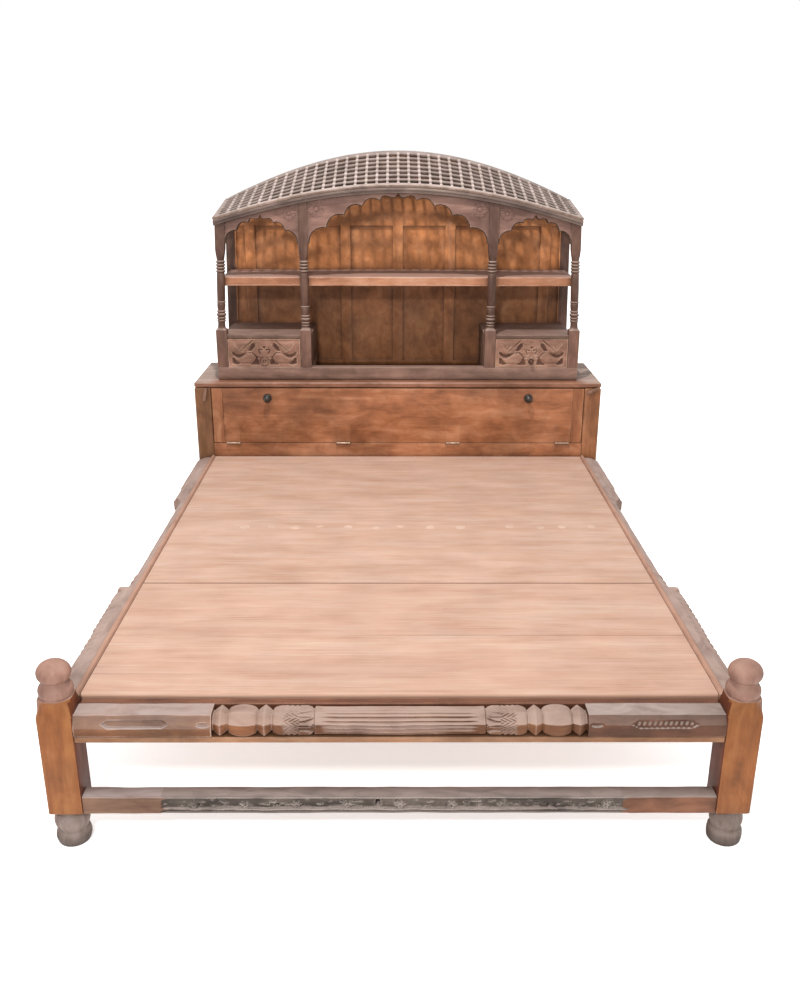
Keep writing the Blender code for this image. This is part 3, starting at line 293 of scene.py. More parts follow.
def hinge_metal(name):
    """Iron hinge leaf varnished over with the flap; its knuckles are rubbed to bare metal and its seams
    darkened with painted shade.
    """
    material = teak(name, FLAP_TONES, "x", **FLAP, grime_and_shade_share=0.35)
    tree = material.node_tree
    shader = tree.nodes["Principled BSDF"]
    varnish = shader.inputs["Base Color"].links[0].from_socket
    coord = add(tree, "ShaderNodeTexCoord")["Object"]
    height = add(tree, "ShaderNodeSeparateXYZ", {0: coord})["Z"]
    off = add(tree, MATH, [height, HINGE_Z], operation="SUBTRACT")[0]
    off = add(tree, MATH, [off], operation="ABSOLUTE")[0]
    bare = add(tree, "ShaderNodeMapRange", {"Value": off, "From Min": 0.0032, "From Max": 0.0052,
                                            "To Min": 1.0, "To Max": 0.0})[0]
    speck = add(tree, "ShaderNodeTexNoise", {"Vector": coord, "Scale": 1000 / 7, "Detail": 4.0})[0]
    metal = add(tree, "ShaderNodeValToRGB", {"Fac": speck},
                [(0.35, srgb("7F6959")), (0.60, srgb("9E8877"))])[0]
    colour = add(tree, "ShaderNodeMix", {0: bare, 6: varnish, 7: metal}, data_type="RGBA")[2]
    # A dark line of painted shade where the leaf meets the wood
    seam_shade = add(tree, "ShaderNodeAmbientOcclusion", {"Distance": 0.004}, samples=6)["AO"]
    line = add(tree, "ShaderNodeMapRange", {"Value": seam_shade, "From Min": 0.4, "From Max": 0.9,
                                            "To Min": 0.8, "To Max": 0.0})[0]
    colour = add(tree, "ShaderNodeMix", {0: line, 6: colour, 7: srgb("2A1A12")}, data_type="RGBA")[2]
    metallic = add(tree, MATH, [bare, 0.6], operation="MULTIPLY")[0]
    tree.links.new(colour, shader.inputs["Base Color"])
    tree.links.new(metallic, shader.inputs["Metallic"])
    return material


# Finishes that pieces share; the colours are their own
FLAP_TONES = "6E4127 8A5638 9E6C4E"
SANDED = dict(streaky=0.8, streak_mm=6, blotch=0.10, curl=0.5, waves=0.1, grime_and_shade="8A6450", grime_and_shade_share=0.5,
              worn="D8BCA6", worn_share=0.1, rough=0.62, wisps=0.20, dust_and_sheen_share=0.13, dust_and_sheen_even=0.0)
OILED = dict(streaky=0.2, streak_mm=11)
FLAP = dict(streaky=0.15, streak_mm=11, blotch=0.38, rough=0.42)
PILLAR = dict(streaky=0.2, streak_mm=8, blotch=0.45, rough=0.5, grime_and_shade_share=0.45)
RUBBED_PILLAR = dict(PILLAR, grime_and_shade="4A3426", worn="C2ABA0", worn_share=0.8, worn_mm=5, dust_and_sheen_share=0.85,
                     dust_and_sheen_from=(0.2, 0.7))
SIDE_PILLAR = dict(streaky=0.25, streak_mm=8, blotch=0.25, rough=0.55)
CABINET = dict(streaky=0.15, streak_mm=8, rough=0.5)
CASE = dict(streaky=0.15, streak_mm=9, rough=0.5, worn="B39684", worn_share=0.5, dust_and_sheen_share=0.6)

# Front boards, teak planed and sanded but not oiled: pale and matt, with fine straight streaks
sanded_front = teak("sanded_teak_front", "997664 A07E6B A58977", "x", **SANDED, dust_and_sheen="C4AFA3",
                    boards=(PLATFORM_Y, BOARD_TONE))
# Rear boards, sanded in the same way: pale and matt, with a whiter dust and painted sheen
sanded_rear = teak("sanded_teak_rear", "987562 9E7D69 A58575", "x", **SANDED, dust_and_sheen="CDBCB3",
                   boards=(SEAM_Y, BOARD_TONE))
# Pegs, end grain pared flush with the boards: paler spots with hardly any streak
peg_teak = teak("pale_peg_teak", "A48877 AC9080 B3998A", "z", streaky=0.1, streak_mm=5, blotch=0.15,
                rough=0.6, grime_and_shade_share=0.2, worn_share=0.1)
# Flap and chest boards, teak rubbed with oil: warm orange brown, satin, clouded by years of hands
oiled_lying = teak("oiled_teak_lying", FLAP_TONES, "x", **FLAP)
# Foot posts, planed and oiled, grain upright: deep orange, satin, with a little dust and painted sheen on the
# slopes
oiled_upright = teak("oiled_teak_upright", "613615 77431B 89562B", "z", **OILED, rough=0.42, dust_and_sheen="8A6E60",
                     dust_and_sheen_share=0.25, dust_and_sheen_from=(0.1, 0.8))
# Inner faces of the foot posts, planed and oiled: dark red brown, a copy of the posts' finish painted in
# shade
shade_painted_upright = teak("shade_painted_teak_upright", "461E0B 552711 653217", "z", **OILED, rough=0.55)
# Chest posts, planed and oiled: a duller brown than the flap
chest_post_teak = teak("chest_post_teak", "4D301B 613E24 734E35", "z", **OILED, rough=0.45)
# Right front chest post, planed and oiled like the rest: warmer and more clouded
chest_post_warm = teak("chest_post_warm_teak", "663D24 7F5031 956447", "z", **OILED, blotch=0.35,
                       rough=0.45)
# Chest sides and joists, planed and oiled, grain front to back: warm brown
oiled_along = teak("oiled_teak_along", "714329 8C5A3A A27050", "y", **OILED, rough=0.45)
# Batten under the foot rail, sawn, planed and oiled: plain mid brown
batten_teak = teak("rail_batten_teak", "603F2A 79543A 8D684E", "x", streaky=0.15, streak_mm=11, rough=0.45)
# Board behind the carved pillar, sawn: dry, painted dark as shade
shaded_board = teak("shaded_teak_board", "45271A 593423 6D452F", "x", streak_mm=9, rough=0.55,
                    grime_and_shade_share=0.25)
# Carved pillar across the foot, chiselled and rubbed smooth by use: brown with upper faces paled by dust and
# a painted sheen
worn_lying = teak("worn_pillar_lying", "4D2B16 60381F 764B2C", "x", **RUBBED_PILLAR, dust_and_sheen="8E796E")
# Left block of the pillar, planed and rubbed: the same brown under a greyer dust and painted sheen
sheened_dusty_block = teak("dusty_block_teak", "51301C 643F26 7B5335", "x", **RUBBED_PILLAR, dust_and_sheen="90807A")
# Right block of the pillar, planed and smoked: darker, with edges rubbed less
smoked_block = teak("smoked_block_teak", "482B1C 5C3927 724A35", "x", **PILLAR, grime_and_shade="3A281F",
                    worn="9C8578", worn_share=0.6, dust_and_sheen="8C7E77", dust_and_sheen_share=0.9, dust_and_sheen_from=(0.4, 0.7))
# Side pillars, split, chiselled and weathered: grey brown with tops paled by dust and a painted sheen
worn_along = teak("worn_pillar_along", "573F36 70564A 866B5F", "y", **SIDE_PILLAR, worn="AE9789",
                  worn_share=0.4, dust_and_sheen="958178", dust_and_sheen_share=0.75)
# Cleats beside the platform, planed and rubbed by bedding: a warm line with pale edges
cleat_teak = teak("rubbed_cleat_teak", "704F3E 85614F 987461", "y", **SIDE_PILLAR, worn="C2A18F",
                  worn_share=0.6, dust_and_sheen="977564", dust_and_sheen_share=0.7)
# Stretcher, chiselled and left bare for years: silver grey, hollows darkened nearly black by dirt and painted
# shade, the lip rubbed pale with a painted highlight, and painted shade on the band below it
weathered_lying = teak("weathered_teak_lying", "221D19 403731 5E534B", "x", streaky=0.2, streak_mm=6,
                       blotch=0.35, rough=0.7, grime_and_shade="241D19", grime_and_shade_share=0.85, worn="B3A69D",
                       worn_share=1.0, worn_mm=5, dust_and_sheen="988982", dust_and_sheen_share=0.9, dust_and_sheen_from=(0.5, 0.95),
                       heights=((0.100, 0.50), (0.113, 0.55), (0.118, 1.1), (0.126, 1.0), (0.160, 1.0)))
# Left end of the stretcher, planed: brown below a top greyed by dust and a painted sheen
stretcher_ends = teak("planed_teak_ends", "543728 694C3B 7E5E4B", "x", streaky=0.3, streak_mm=8, rough=0.5,
                      dust_and_sheen="A49591", dust_and_sheen_share=0.9, dust_and_sheen_from=(0.5, 0.95))
# Finials, turned and worn by hands: dull pink brown, even, with dust and a painted sheen on the crown
finial_teak = teak("sheened_dusty_finial_teak", "68473C 805E51 926E60", "z", streaky=0.1, streak_mm=10, blotch=0.3,
                   rough=0.55, grime_and_shade_share=0.1, worn="A58F86", worn_share=0.4, dust_and_sheen="88695C",
                   dust_and_sheen_share=0.6, dust_and_sheen_from=(0.0, 0.8))
# End battens of the flap, planed and oiled, grain upright: the flap's colour across its boards
flap_batten_teak = teak("flap_batten_teak", "693D24 835134 976748", "z", streaky=0.15, streak_mm=11,
                        rough=0.42)
# Turn buttons, whittled: dull brown, rubbed pale at the edges
turn_button_teak = teak("turn_button_teak", "54392B 6E4E3E 86665A", "z", streaky=0.2, streak_mm=6,
                        rough=0.5)
# Cornice, moulded with a plane and weathered: grey brown
cornice_teak = teak("cornice_teak", "473A34 5B4B44 6E5E55", "x", streaky=0.15, streak_mm=8, rough=0.55,
                    worn="7F6D63", worn_share=0.5)
# Bun feet, turned and weathered: silver grey, darker in a rim low down
weathered_turned = teak("weathered_teak_turned", "53443D 695A52 7D6E67", "z", streaky=0.1, streak_mm=6,
                        blotch=0.20, rough=0.65, worn="A3948A", worn_share=0.5, dust_and_sheen="93867D",
                        dust_and_sheen_share=0.4,
                        heights=((0.0, 0.55), (0.024, 0.62), (0.036, 1.0), (0.060, 1.12), (0.100, 1.05)))
# Columns and back stiles, turned or planed, stained and dulled by smoke: dark brown, lighter at the base
stained_upright = teak("stained_teak_upright", "38241B 473027 584034", "z", streaky=0.2, streak_mm=8,
                       rough=0.5, worn="8F7466", worn_share=0.45, dust_and_sheen="8E7A6F", dust_and_sheen_share=0.8,
                       dust_and_sheen_from=(0.2, 0.8),
                       heights=((0.78, 1.72), (0.93, 1.65), (0.96, 1.15), (1.22, 1.0), (1.30, 1.08),
                                (1.50, 1.08)))
# Arch boards, sawn and stained: dull purple brown with pale worn edges
arch_teak = teak("arch_board_teak", "563C33 6C4F45 806155", "x", **CABINET, worn="B39A8E", worn_share=0.9)
# Cabinet plinth, planed and stained: grey brown, with dust and a painted sheen on top
plinth_teak = teak("cabinet_plinth_teak", "584134 6E5347 836456", "x", **CASE, dust_and_sheen="786157")
# Drawer cases, planed and stained: darker than the plinth, with dust and a painted sheen on top
case_teak = teak("drawer_case_teak", "473428 594338 6A5145", "x", **CASE, dust_and_sheen="80675D")
# Rosettes, chiselled into the arch boards: the boards' brown with dark eyes and dull rims
rosette_teak = teak("rosette_teak", "543B32 6A4D44 7E5F53", "x", **CABINET, grime_and_shade_share=0.5, worn="A38B80",
                    worn_share=0.28)
# Cut rim of the arches, sawn across the grain: a dark line of painted shade along the lobes
arch_rim_shade = teak("arch_rim_teak", "241A15 33261F 43332A", "x", streaky=0.2, streak_mm=8, rough=0.6)
# Chest top, planed and oiled: brown, with dust and a painted sheen only beyond the cabinet's ends
chest_top_teak = teak("chest_top_teak", "523223 6C4734 855A46", "x", streaky=0.25, streak_mm=9, rough=0.45,
                      worn="8E6655", worn_share=0.3, dust_and_sheen="9A8A80", dust_and_sheen_share=0.7, dust_and_sheen_beyond=0.80)
# Drawer fronts, chiselled in relief: warm brown with pale rubbed crests
carved_drawer = teak("carved_drawer_teak", "5D4132 795748 916F5B", "x", streaky=0.1, streak_mm=8,
                     blotch=0.2, rough=0.5, worn="C7A48E", worn_share=0.9, worn_mm=5, grime_and_shade="3A2218",
                     grime_and_shade_share=0.9)
# Sunk ground of the carving, left from the chisel: matt, painted dark as shade
carved_ground_shade = teak("carved_ground_teak", "382017 462B21 57382A", "x", streaky=0.1, streak_mm=8, rough=0.7)
# Roof lattice, sawn bars half lapped and bleached from above: grey under dust and a painted sheen, with
# painted highlights where they cross and painted shade on the bars across
bleached_lattice = teak("bleached_lattice_teak", "58473F 725F54 88736C", "y", streaky=0.15, streak_mm=6,
                        blotch=0.2, rough=0.6, worn="AA988C", worn_share=0.4, dust_and_sheen="978A84",
                        dust_and_sheen_share=0.75, knuckles=True)
# Back boards, planed and oiled, grain upright: orange brown, with painted shade low down under the shelf and
# on the header under the arches and roof, and painted light just above the shelf
boards_upright = teak("back_boards_teak", "734625 895632 9A6742", "z", streaky=0.12, streak_mm=14,
                      blotch=0.40, rough=0.45, curl=3.0,
                      heights=((0.74, 0.70), (1.11, 0.78), (1.17, 1.38), (1.34, 1.46), (1.352, 1.2),
                               (1.46, 0.95), (1.50, 0.75), (1.68, 0.90)))
# Rear of the back boards, sawn and never oiled: dark and dry
rear_boards = teak("rear_boards_teak", "4A2C1B 5E3C28 724D37", "z", streaky=0.35, streak_mm=14, blotch=0.35,
                   rough=0.6)
# Shelf, planed and oiled: orange brown, its front edge rubbed pale with a painted highlight, its top greyed
# by dust and a painted sheen
shelf_teak = teak("shelf_teak", "7C5038 94654A A77E65", "x", streaky=0.2, streak_mm=10, blotch=0.2,
                  rough=0.45, worn="CFAB98", worn_share=1.0, worn_mm=6, dust_and_sheen="816961", dust_and_sheen_share=0.9)
# Flap knobs, forged iron blackened in oil: nearly black, with bare rims and specks of rust
blackened_iron = iron("blackened_iron", "3A3532", "857C75", "4E3A2E", 0.7, 0.38)
# Drawer knob, forged iron rusted to a brown skin and waxed: warm and hardly shiny
browned_iron = iron("browned_iron", "4A2E20", "7A5A48", "5C3927", 0.45, 0.48)
# Hinge leaves, pressed iron varnished over with the flap: the flap's colour, bare metal at the knuckles,
# painted shade along the seams
varnished_hinge = hinge_metal("varnished_iron_hinge")


# Making pieces

def body_of(node):
    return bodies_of(frame["nodes"][node])[0]


def add_piece(name, mesh, material, body, slot, stands_for=(), crease=38):
    """Finish a mesh as a piece: normals outward, smooth between creases, riding a body."""
    bm = bmesh.new()
    bm.from_mesh(mesh)
    bmesh.ops.remove_doubles(bm, verts=bm.verts, dist=1e-6)
    bmesh.ops.recalc_face_normals(bm, faces=bm.faces)
    bm.to_mesh(mesh)
    bm.free()
    mesh.shade_smooth()
    mesh.set_sharp_from_angle(angle=radians(crease))
    mesh.materials.clear()
    mesh.materials.append(material)
    piece = bpy.data.objects.new(name, mesh)
    bpy.context.scene.collection.objects.link(piece)
    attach(piece, body)
    if stands_for:
        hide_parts(*stands_for)
    return piece


def add_finishes(piece, finishes, pick):
    """More finishes on a piece; pick gives a face 0 for the first finish or the place of another."""
    for finish in finishes:
        piece.data.materials.append(finish)
    for face in piece.data.polygons:
        face.material_index = pick(face)


def skin(rings):
    """Mesh of a closed skin through rings of equal length, capped at both ends."""
    count = len(rings[0])
    verts = [point for ring in rings for point in ring]
    faces = []
    for i in range(len(rings) - 1):
        a = i * count
        for k in range(count):
            after = (k + 1) % count
            faces.append((a + k, a + after, a + count + after, a + count + k))
    faces += [tuple(range(count)), tuple(range(len(verts) - count, len(verts)))]
    mesh = bpy.data.meshes.new("skin")
    mesh.from_pydata(verts, [], faces)
    return mesh


def eased(node, material, slot, width):
    """The CAD node's own shape with its arrises rounded as a plane leaves them."""
    mesh = frame["nodes"][node].data.copy()
    bm = bmesh.new()
    bm.from_mesh(mesh)
    bmesh.ops.remove_doubles(bm, verts=bm.verts, dist=1e-5)
    bmesh.ops.dissolve_limit(bm, angle_limit=radians(0.05), verts=bm.verts, edges=bm.edges)
    bm.to_mesh(mesh)
    bm.free()
    piece = add_piece(node + "_eased", mesh, material, body_of(node), slot, [node], crease=180)
    rounding = piece.modifiers.new("eased_edges", "BEVEL")
    rounding.width = width
    rounding.segments = 2
    rounding.limit_method = "ANGLE"
    rounding.angle_limit = radians(35)
    rounding.harden_normals = True
    return piece


def section(roundness, sides, corner=1.39, start=0.0, sweep=2 * pi):
    """Unit outline between a square with rubbed corners (0) and a circle (1)."""
    count = sides if sweep > 6 else sides + 1
    points = []
    for i in range(count):
        angle = start + sweep * i / sides
        square = min(corner, 1 / max(abs(cos(angle)), abs(sin(angle))))
        reach = square + (1 - square) * roundness
        points.append((reach * cos(angle), reach * sin(angle)))
    return points


def bead(start, length, radius, swell, steps=8):
    """Marks of a half-round moulding."""
    return [(start + length * k / steps, radius + swell * sin(pi * k / steps)) for k in range(steps + 1)]


def turned_up(profile, centre, sides=48):
    """Rings up +Z from (height, half size, roundness) marks."""
    return [[(centre[0] + size * u, centre[1] + size * w, z) for u, w in section(rnd, sides)]
            for z, size, rnd in profile]


# noise_vector starts from the clock unless it is seeded
noise.seed_set(11)


def wander(point, size, amount):
    """Small uneven shift of hand-worked wood, the same in each run."""
    x, y, z = point
    shift = noise.noise_vector(Vector((x, y, z)) / size)
    return (x + amount * shift[0], y + amount * shift[1], z + amount * shift[2])


def smooth(low, high, value):
    t = np.clip((value - low) / (high - low), 0.0, 1.0)
    return t * t * (3 - 2 * t)


# Foot posts and bun feet

def add_foot_post(sign, side):
    centre = (sign * POST_X, FOOT_Y + POST_HALF)
    half = POST_HALF
    shoulder = 0.4295
    ball = 0.0915
    profile = [(0.1028, half - 0.004, 0.0), (0.106, half - 0.0012, 0.0), (0.109, half, 0.0)]
    profile += [(shoulder - 0.046, half, 0.0), (shoulder - 0.010, half, 0.0)]
    profile += [(shoulder - 0.002, 0.955 * half, 0.35)]
    ring = [(0.0, 0.91), (0.03, 0.935), (0.07, 0.955), (0.12, 0.97), (0.17, 0.97), (0.22, 0.95), (0.26, 0.91)]
    ring += [(0.30, 0.86), (0.335, 0.79), (0.37, 0.72)]
    profile += [(shoulder + share * ball, size * half, 1.0) for share, size in ring]
    for angle in range(-42, 90, 6):
        height = shoulder + 0.65 * ball + 0.35 * ball * sin(radians(angle))
        profile.append((height, 0.955 * half * cos(radians(angle)), 1.0))
    rings = turned_up(profile, centre, 96)
    for ring in rings:
        # The corners are cut away more and more towards the shoulder
        cut = (0.07 + 0.5 * float(smooth(shoulder - 0.046, shoulder - 0.010, ring[0][2]))) * half
        for k, (x, y, z) in enumerate(ring):
            past = (abs(x - centre[0]) + abs(y - centre[1]) - 2 * half + cut) / 2
            if past > 0 and z < shoulder:
                x -= past * np.sign(x - centre[0])
                y -= past * np.sign(y - centre[1])
            ring[k] = wander((x, y, z), 0.05, 0.0006)
    post = add_piece("turned_foot_post_" + side, skin(rings), oiled_upright, "frame", "oiled_teak",
                     ["foot_post_" + side])
    # The crown takes the finial finish, and faces turned inward take the copy painted in shade
    add_finishes(post, [finial_teak, shade_painted_upright], lambda face: 1 if face.center.z > shoulder - 0.002
                 else 2 if sign * face.normal.x < -0.8 else 0)
    r = 0.045
    h = 0.1025
    if sign < 0:
        marks = [(0.0, 0.76 * r), (0.015 * h, 0.84 * r), (0.035 * h, 0.89 * r)]
        marks += bead(0.05 * h, 0.31 * h, 0.91 * r, 0.08 * r, 10)
        marks += [(0.385 * h, 0.85 * r), (0.42 * h, 0.84 * r)]
        marks += bead(0.44 * h, 0.44 * h, 0.85 * r, 0.14 * r, 12)
    else:
        marks = [(0.0, 0.80 * r), (0.02 * h, 0.90 * r), (0.05 * h, 0.95 * r)]
        marks += bead(0.07 * h, 0.28 * h, 0.96 * r, 0.03 * r, 8)
        marks += [(0.375 * h, 0.91 * r), (0.395 * h, 0.83 * r), (0.42 * h, 0.80 * r)]
        marks += bead(0.44 * h, 0.44 * h, 0.80 * r, 0.13 * r, 12)
    marks += [(0.90 * h, 0.78 * r), (0.93 * h, 0.75 * r), (h, 0.78 * r)]
    rings = turned_up([(z, size, 1.0) for z, size in marks], centre)
    rings = [[wander(p, 0.09, 0.0008) if p[2] > 0.005 else p for p in ring] for ring in rings]
    add_piece("turned_bun_foot_" + side, skin(rings), weathered_turned, "frame", "grey_teak",
              ["bun_foot_" + side])


# Carved pillar across the foot

def rail_size(s):
    """(size, roundness) of the pillar at a distance from the post; its turnings stay squarish."""
    if s < BLOCK_END:
        return 1.0, 0.0
    for start, length in ((0.340, 0.034), (0.448, 0.034)):
        if start <= s <= start + length:
            return 0.64 + 0.35 * (1 - abs(2 * (s - start) / length - 1)) ** 0.85, 0.2
    if 0.375 <= s <= 0.447:
        return 0.64 + 0.37 * sqrt(max(0.0, 1 - (2 * (s - 0.375) / 0.072 - 1) ** 2)), 0.2
    if LEAF_START <= s <= SHAFT_START:
        t = (s - LEAF_START) / 0.104
        return 0.64 + 0.35 * sqrt(max(0.0, 1 - (1 - min(1.0, t / 0.36)) ** 2)) - 0.06 * t, 0.2
    if s > SHAFT_START:
        return 0.90 + 0.05 * min(1.0, (s - SHAFT_START) / 0.21), 0.25
    return 0.64, 0.2


def leaf_cut(s, turn):
    """Share taken off the capital: veins on each leaf and gaps between leaf ends; turn counts leaves."""
    offset = abs(turn - round(turn))
    if s < LEAF_ENDS:
        vein = 0.5 + 0.5 * cos(2 * pi * (s - 0.515 + 0.044 * offset) / 0.0135)
        return 0.11 * (1 - vein) * min(1.0, max(0.0, (s - 0.508) / 0.008))
    tip = (s - LEAF_ENDS) / 0.036
    inside = 0.5 * (1 - tip ** 2) - offset
    return 0.19 * (1 - min(1.0, max(0.0, inside / 0.12))) + 0.07 * (offset < 0.05)


def block_cut(s, w, mirrored):
    """Depth in metres cut into a block: a long six-sided sunk field and an almond hollow."""
    depth = 0.0
    reach = 1 - max(0.0, abs(s - 0.149) - 0.065) / 0.018
    inside = reach * 0.36 - abs(w - 0.20)
    if reach > 0:
        share = min(1.0, max(0.0, inside / 0.08))
        depth = 0.0060 * share
        if mirrored:
            depth -= 0.0042 * share * abs(sin(pi * (s + 0.016 * w) / 0.013)) ** 0.7
    almond = 1 - ((s - 0.316) / 0.017) ** 2 - ((w - 0.16) / 0.20) ** 2
    return max(depth, 0.0055 * min(1.0, max(0.0, almond * 1.6)))


def cut_corner(u, w, front_w, top_u):
    """Upper front corner planed off on the line from (1, front_w) on the face to (top_u, 1) on the top."""
    nu = 1 - front_w
    nw = 1 - top_u
    past = (u - 1) * nu + (w - front_w) * nw
    if past <= 0:
        return u, w
    push = past / (nu * nu + nw * nw)
    return u - nu * push, w - nw * push


def add_foot_rail():
    half_length = POST_IN - SEAT
    middle_y = FOOT_Y + 0.002 + RAIL_DEPTH / 2
    sides = 144
    near = [0.0, 0.0015, *np.arange(0.005, 0.337, 0.0022), 0.3365, 0.338, 0.3386]
    near += [*np.arange(0.340, 0.588, 0.002), 0.589, *np.arange(0.592, 0.640, 0.004)]
    near += [*np.arange(0.650, 0.79, 0.02)]
    stations = [-half_length + s for s in near] + [half_length - s for s in reversed(near)]
    rings = []
    for x in stations:
        s = half_length - abs(x)
        size, roundness = rail_size(s)
        outline = []
        for u, w in section(roundness, sides):
            if roundness == 0.0:
                u, w = cut_corner(u, w, 0.14 if x > 0 else -0.20, 0.62)
            elif u > 0 and w > 0 and u + w > 1.2:
                u, w = u - (u + w - 1.2) / 2, w - (u + w - 1.2) / 2
            outline.append((u, w))
        around = [0.0]
        for (u0, w0), (u1, w1) in zip(outline, outline[1:] + outline[:1]):
            around.append(around[-1] + sqrt((u1 - u0) ** 2 + (w1 - w0) ** 2))
        ring = []
        for (u, w), run in zip(outline, around):
            turn = run / around[-1]
            reach = size
            if 0.500 < s < SHAFT_START:
                reach *= 1 - leaf_cut(s, 8 * turn)
            elif s > 0.598:
                flute = 0.5 + 0.5 * cos(2 * pi * 17 * turn)
                reach *= 1 - 0.15 * flute ** 1.4 * min(1.0, (s - 0.598) / 0.03)
            y = middle_y - reach * u * RAIL_DEPTH / 2
            z = RAIL_MIDDLE + reach * w * RAIL_HEIGHT / 2
            if roundness == 0.0 and u > 0.2:
                y += block_cut(s, w, x > 0)
            ring.append(wander((x, y, z), 0.06, 0.0009))
        rings.append(ring)
    rail = add_piece("carved_foot_rail", skin(rings), worn_lying, "frame", "worn_carving", ["foot_rail"],
                     crease=50)

    def pick(face):
        carved = abs(face.center.x) < half_length - BLOCK_END
        return 0 if carved else 1 if face.center.x > 0 else 2

    add_finishes(rail, [smoked_block, sheened_dusty_block], pick)


def add_stretcher():
    """Weathered carved rail: worn flowers and pits over a ragged lip, plain planed ends."""
    half_length = POST_IN - SEAT
    front = FOOT_Y + 0.006
    back = front + 0.045
    low = 0.101
    tall = 0.053
    half_pitch = 0.065
    flower_height = 0.026
    rings = []
    for x in np.linspace(-half_length, half_length, 560):
        carved = float(smooth(-0.606, -0.590, x) * smooth(0.590, 0.540, x))
        ragged = noise.noise(Vector((x / 0.045, 3.1, 0.0)))
        ring = []
        for k in range(33):
            t = k / 32
            z = low + tall * (0.03 + 0.94 * t)
            inset = 0.003 if k in (0, 32) else 0.0
            under = 0.010 * carved * float(smooth(0.24 + 0.05 * ragged, 0.12, t))
            lip = 0.0060 * carved * float(smooth(0.27 + 0.05 * ragged, 0.33 + 0.05 * ragged, t))
            lip *= float(smooth(1.0, 0.36, t))
            flower_x = (x + half_pitch) % (2 * half_pitch) - half_pitch
            flower_z = z - low - flower_height
            reach = sqrt(flower_x ** 2 + flower_z ** 2)
            turn = np.arctan2(flower_z, flower_x)
            petal = 0.0095 * max(0.0, 1 - reach / (0.013 + 0.004 * cos(6 * turn)))
            eye = 0.012 * max(0.0, 1 - reach / 0.0045)
            pit = max(0.0, noise.noise(Vector((x / 0.016, 9.0, z / 0.009))) - 0.22)
            pit *= 0.034 * float(smooth(0.30, 0.38, t)) * float(smooth(0.92, 0.70, t))
            ring.append((x, front + inset + under + lip - carved * (petal - eye - pit), z))
        ring += [(x, front + 0.004, low + tall), (x, back - 0.004, low + tall), (x, back, low + tall - 0.004),
                 (x, back, low + 0.004), (x, back - 0.004, low), (x, front + 0.006, low)]
        rings.append([wander(p, 0.07, 0.0012) if abs(x) < half_length - 0.001 else p for p in ring])
    rail = add_piece("carved_stretcher", skin(rings), weathered_lying, "frame", "grey_teak",
                     ["foot_stretcher"], crease=60)

    def pick(face):
        along = face.center.x + 0.02 * noise.noise(Vector((0.0, 0.0, face.center.z / 0.008)))
        return 1 if along < -0.598 else 0 if along < 0.565 else 2

    add_finishes(rail, [stretcher_ends, smoked_block], pick)


# Carved pillars along the sides

def side_rail_mark(s, length):
    """(depth, roundness) along a side pillar, foot to head."""
    deep = 0.063
    thin = 0.033
    block = 0.645
    head = length - 0.520
    step = 0.025
    if s < block:
        return (0.95 * deep if s < 0.39 else deep), 0.0
    if s < block + step:
        return 0.92 * deep, 0.2
    for start, swell in ((1.3, 0.22), (2.9, 0.16), (4.4, 0.14)):
        t = (s - block - start * step) / (1.3 * step)
        if 0 <= t <= 1:
            return thin * (1 + swell * sin(pi * t)), 1.0
    if s < head - 0.040:
        return (0.90 * thin if s < block + 6 * step else thin), 1.0
    if s < head:
        t = (s - head + 0.040) / 0.040
        return thin + (0.86 * deep - thin) * t ** 2, 1.0 - 0.8 * t
    return (0.93 * deep if s < head + 0.16 else deep), 0.0


def add_side_rail(sign, side):
    start = FOOT_Y + 2 * POST_HALF + SEAT
    length = CHEST_Y - SEAT - start
    rings = []
    for s in np.linspace(0.0, length, 520):
        depth, roundness = side_rail_mark(s, length)
        tall = RAIL_HEIGHT / 2 * (1.0 - 0.09 * roundness)
        ring = []
        for u, w in section(roundness, 20, 1.39, -pi / 2, pi):
            if roundness < 0.1:
                lean = u + w - 1.414
                if w > 0 and lean > 0:
                    u -= lean / 2
                    w -= lean / 2
                chip = 0.06 * max(0.0, sin(2 * pi * s / 0.032)) * (0.25 < s % 0.62 < 0.60)
                if u > 0.55 and w > 0:
                    u -= chip
                    w -= chip
            point = (sign * (RAIL_IN + depth * max(0.0, u)), start + s, RAIL_MIDDLE + tall * w)
            ring.append(wander(point, 0.05, 0.0009) if u > 0.05 else point)
        rings.append(ring)
    add_piece("carved_side_rail_" + side, skin(rings), worn_along, "frame", "worn_carving",
              ["side_rail_" + side], crease=50)


# Platform boards

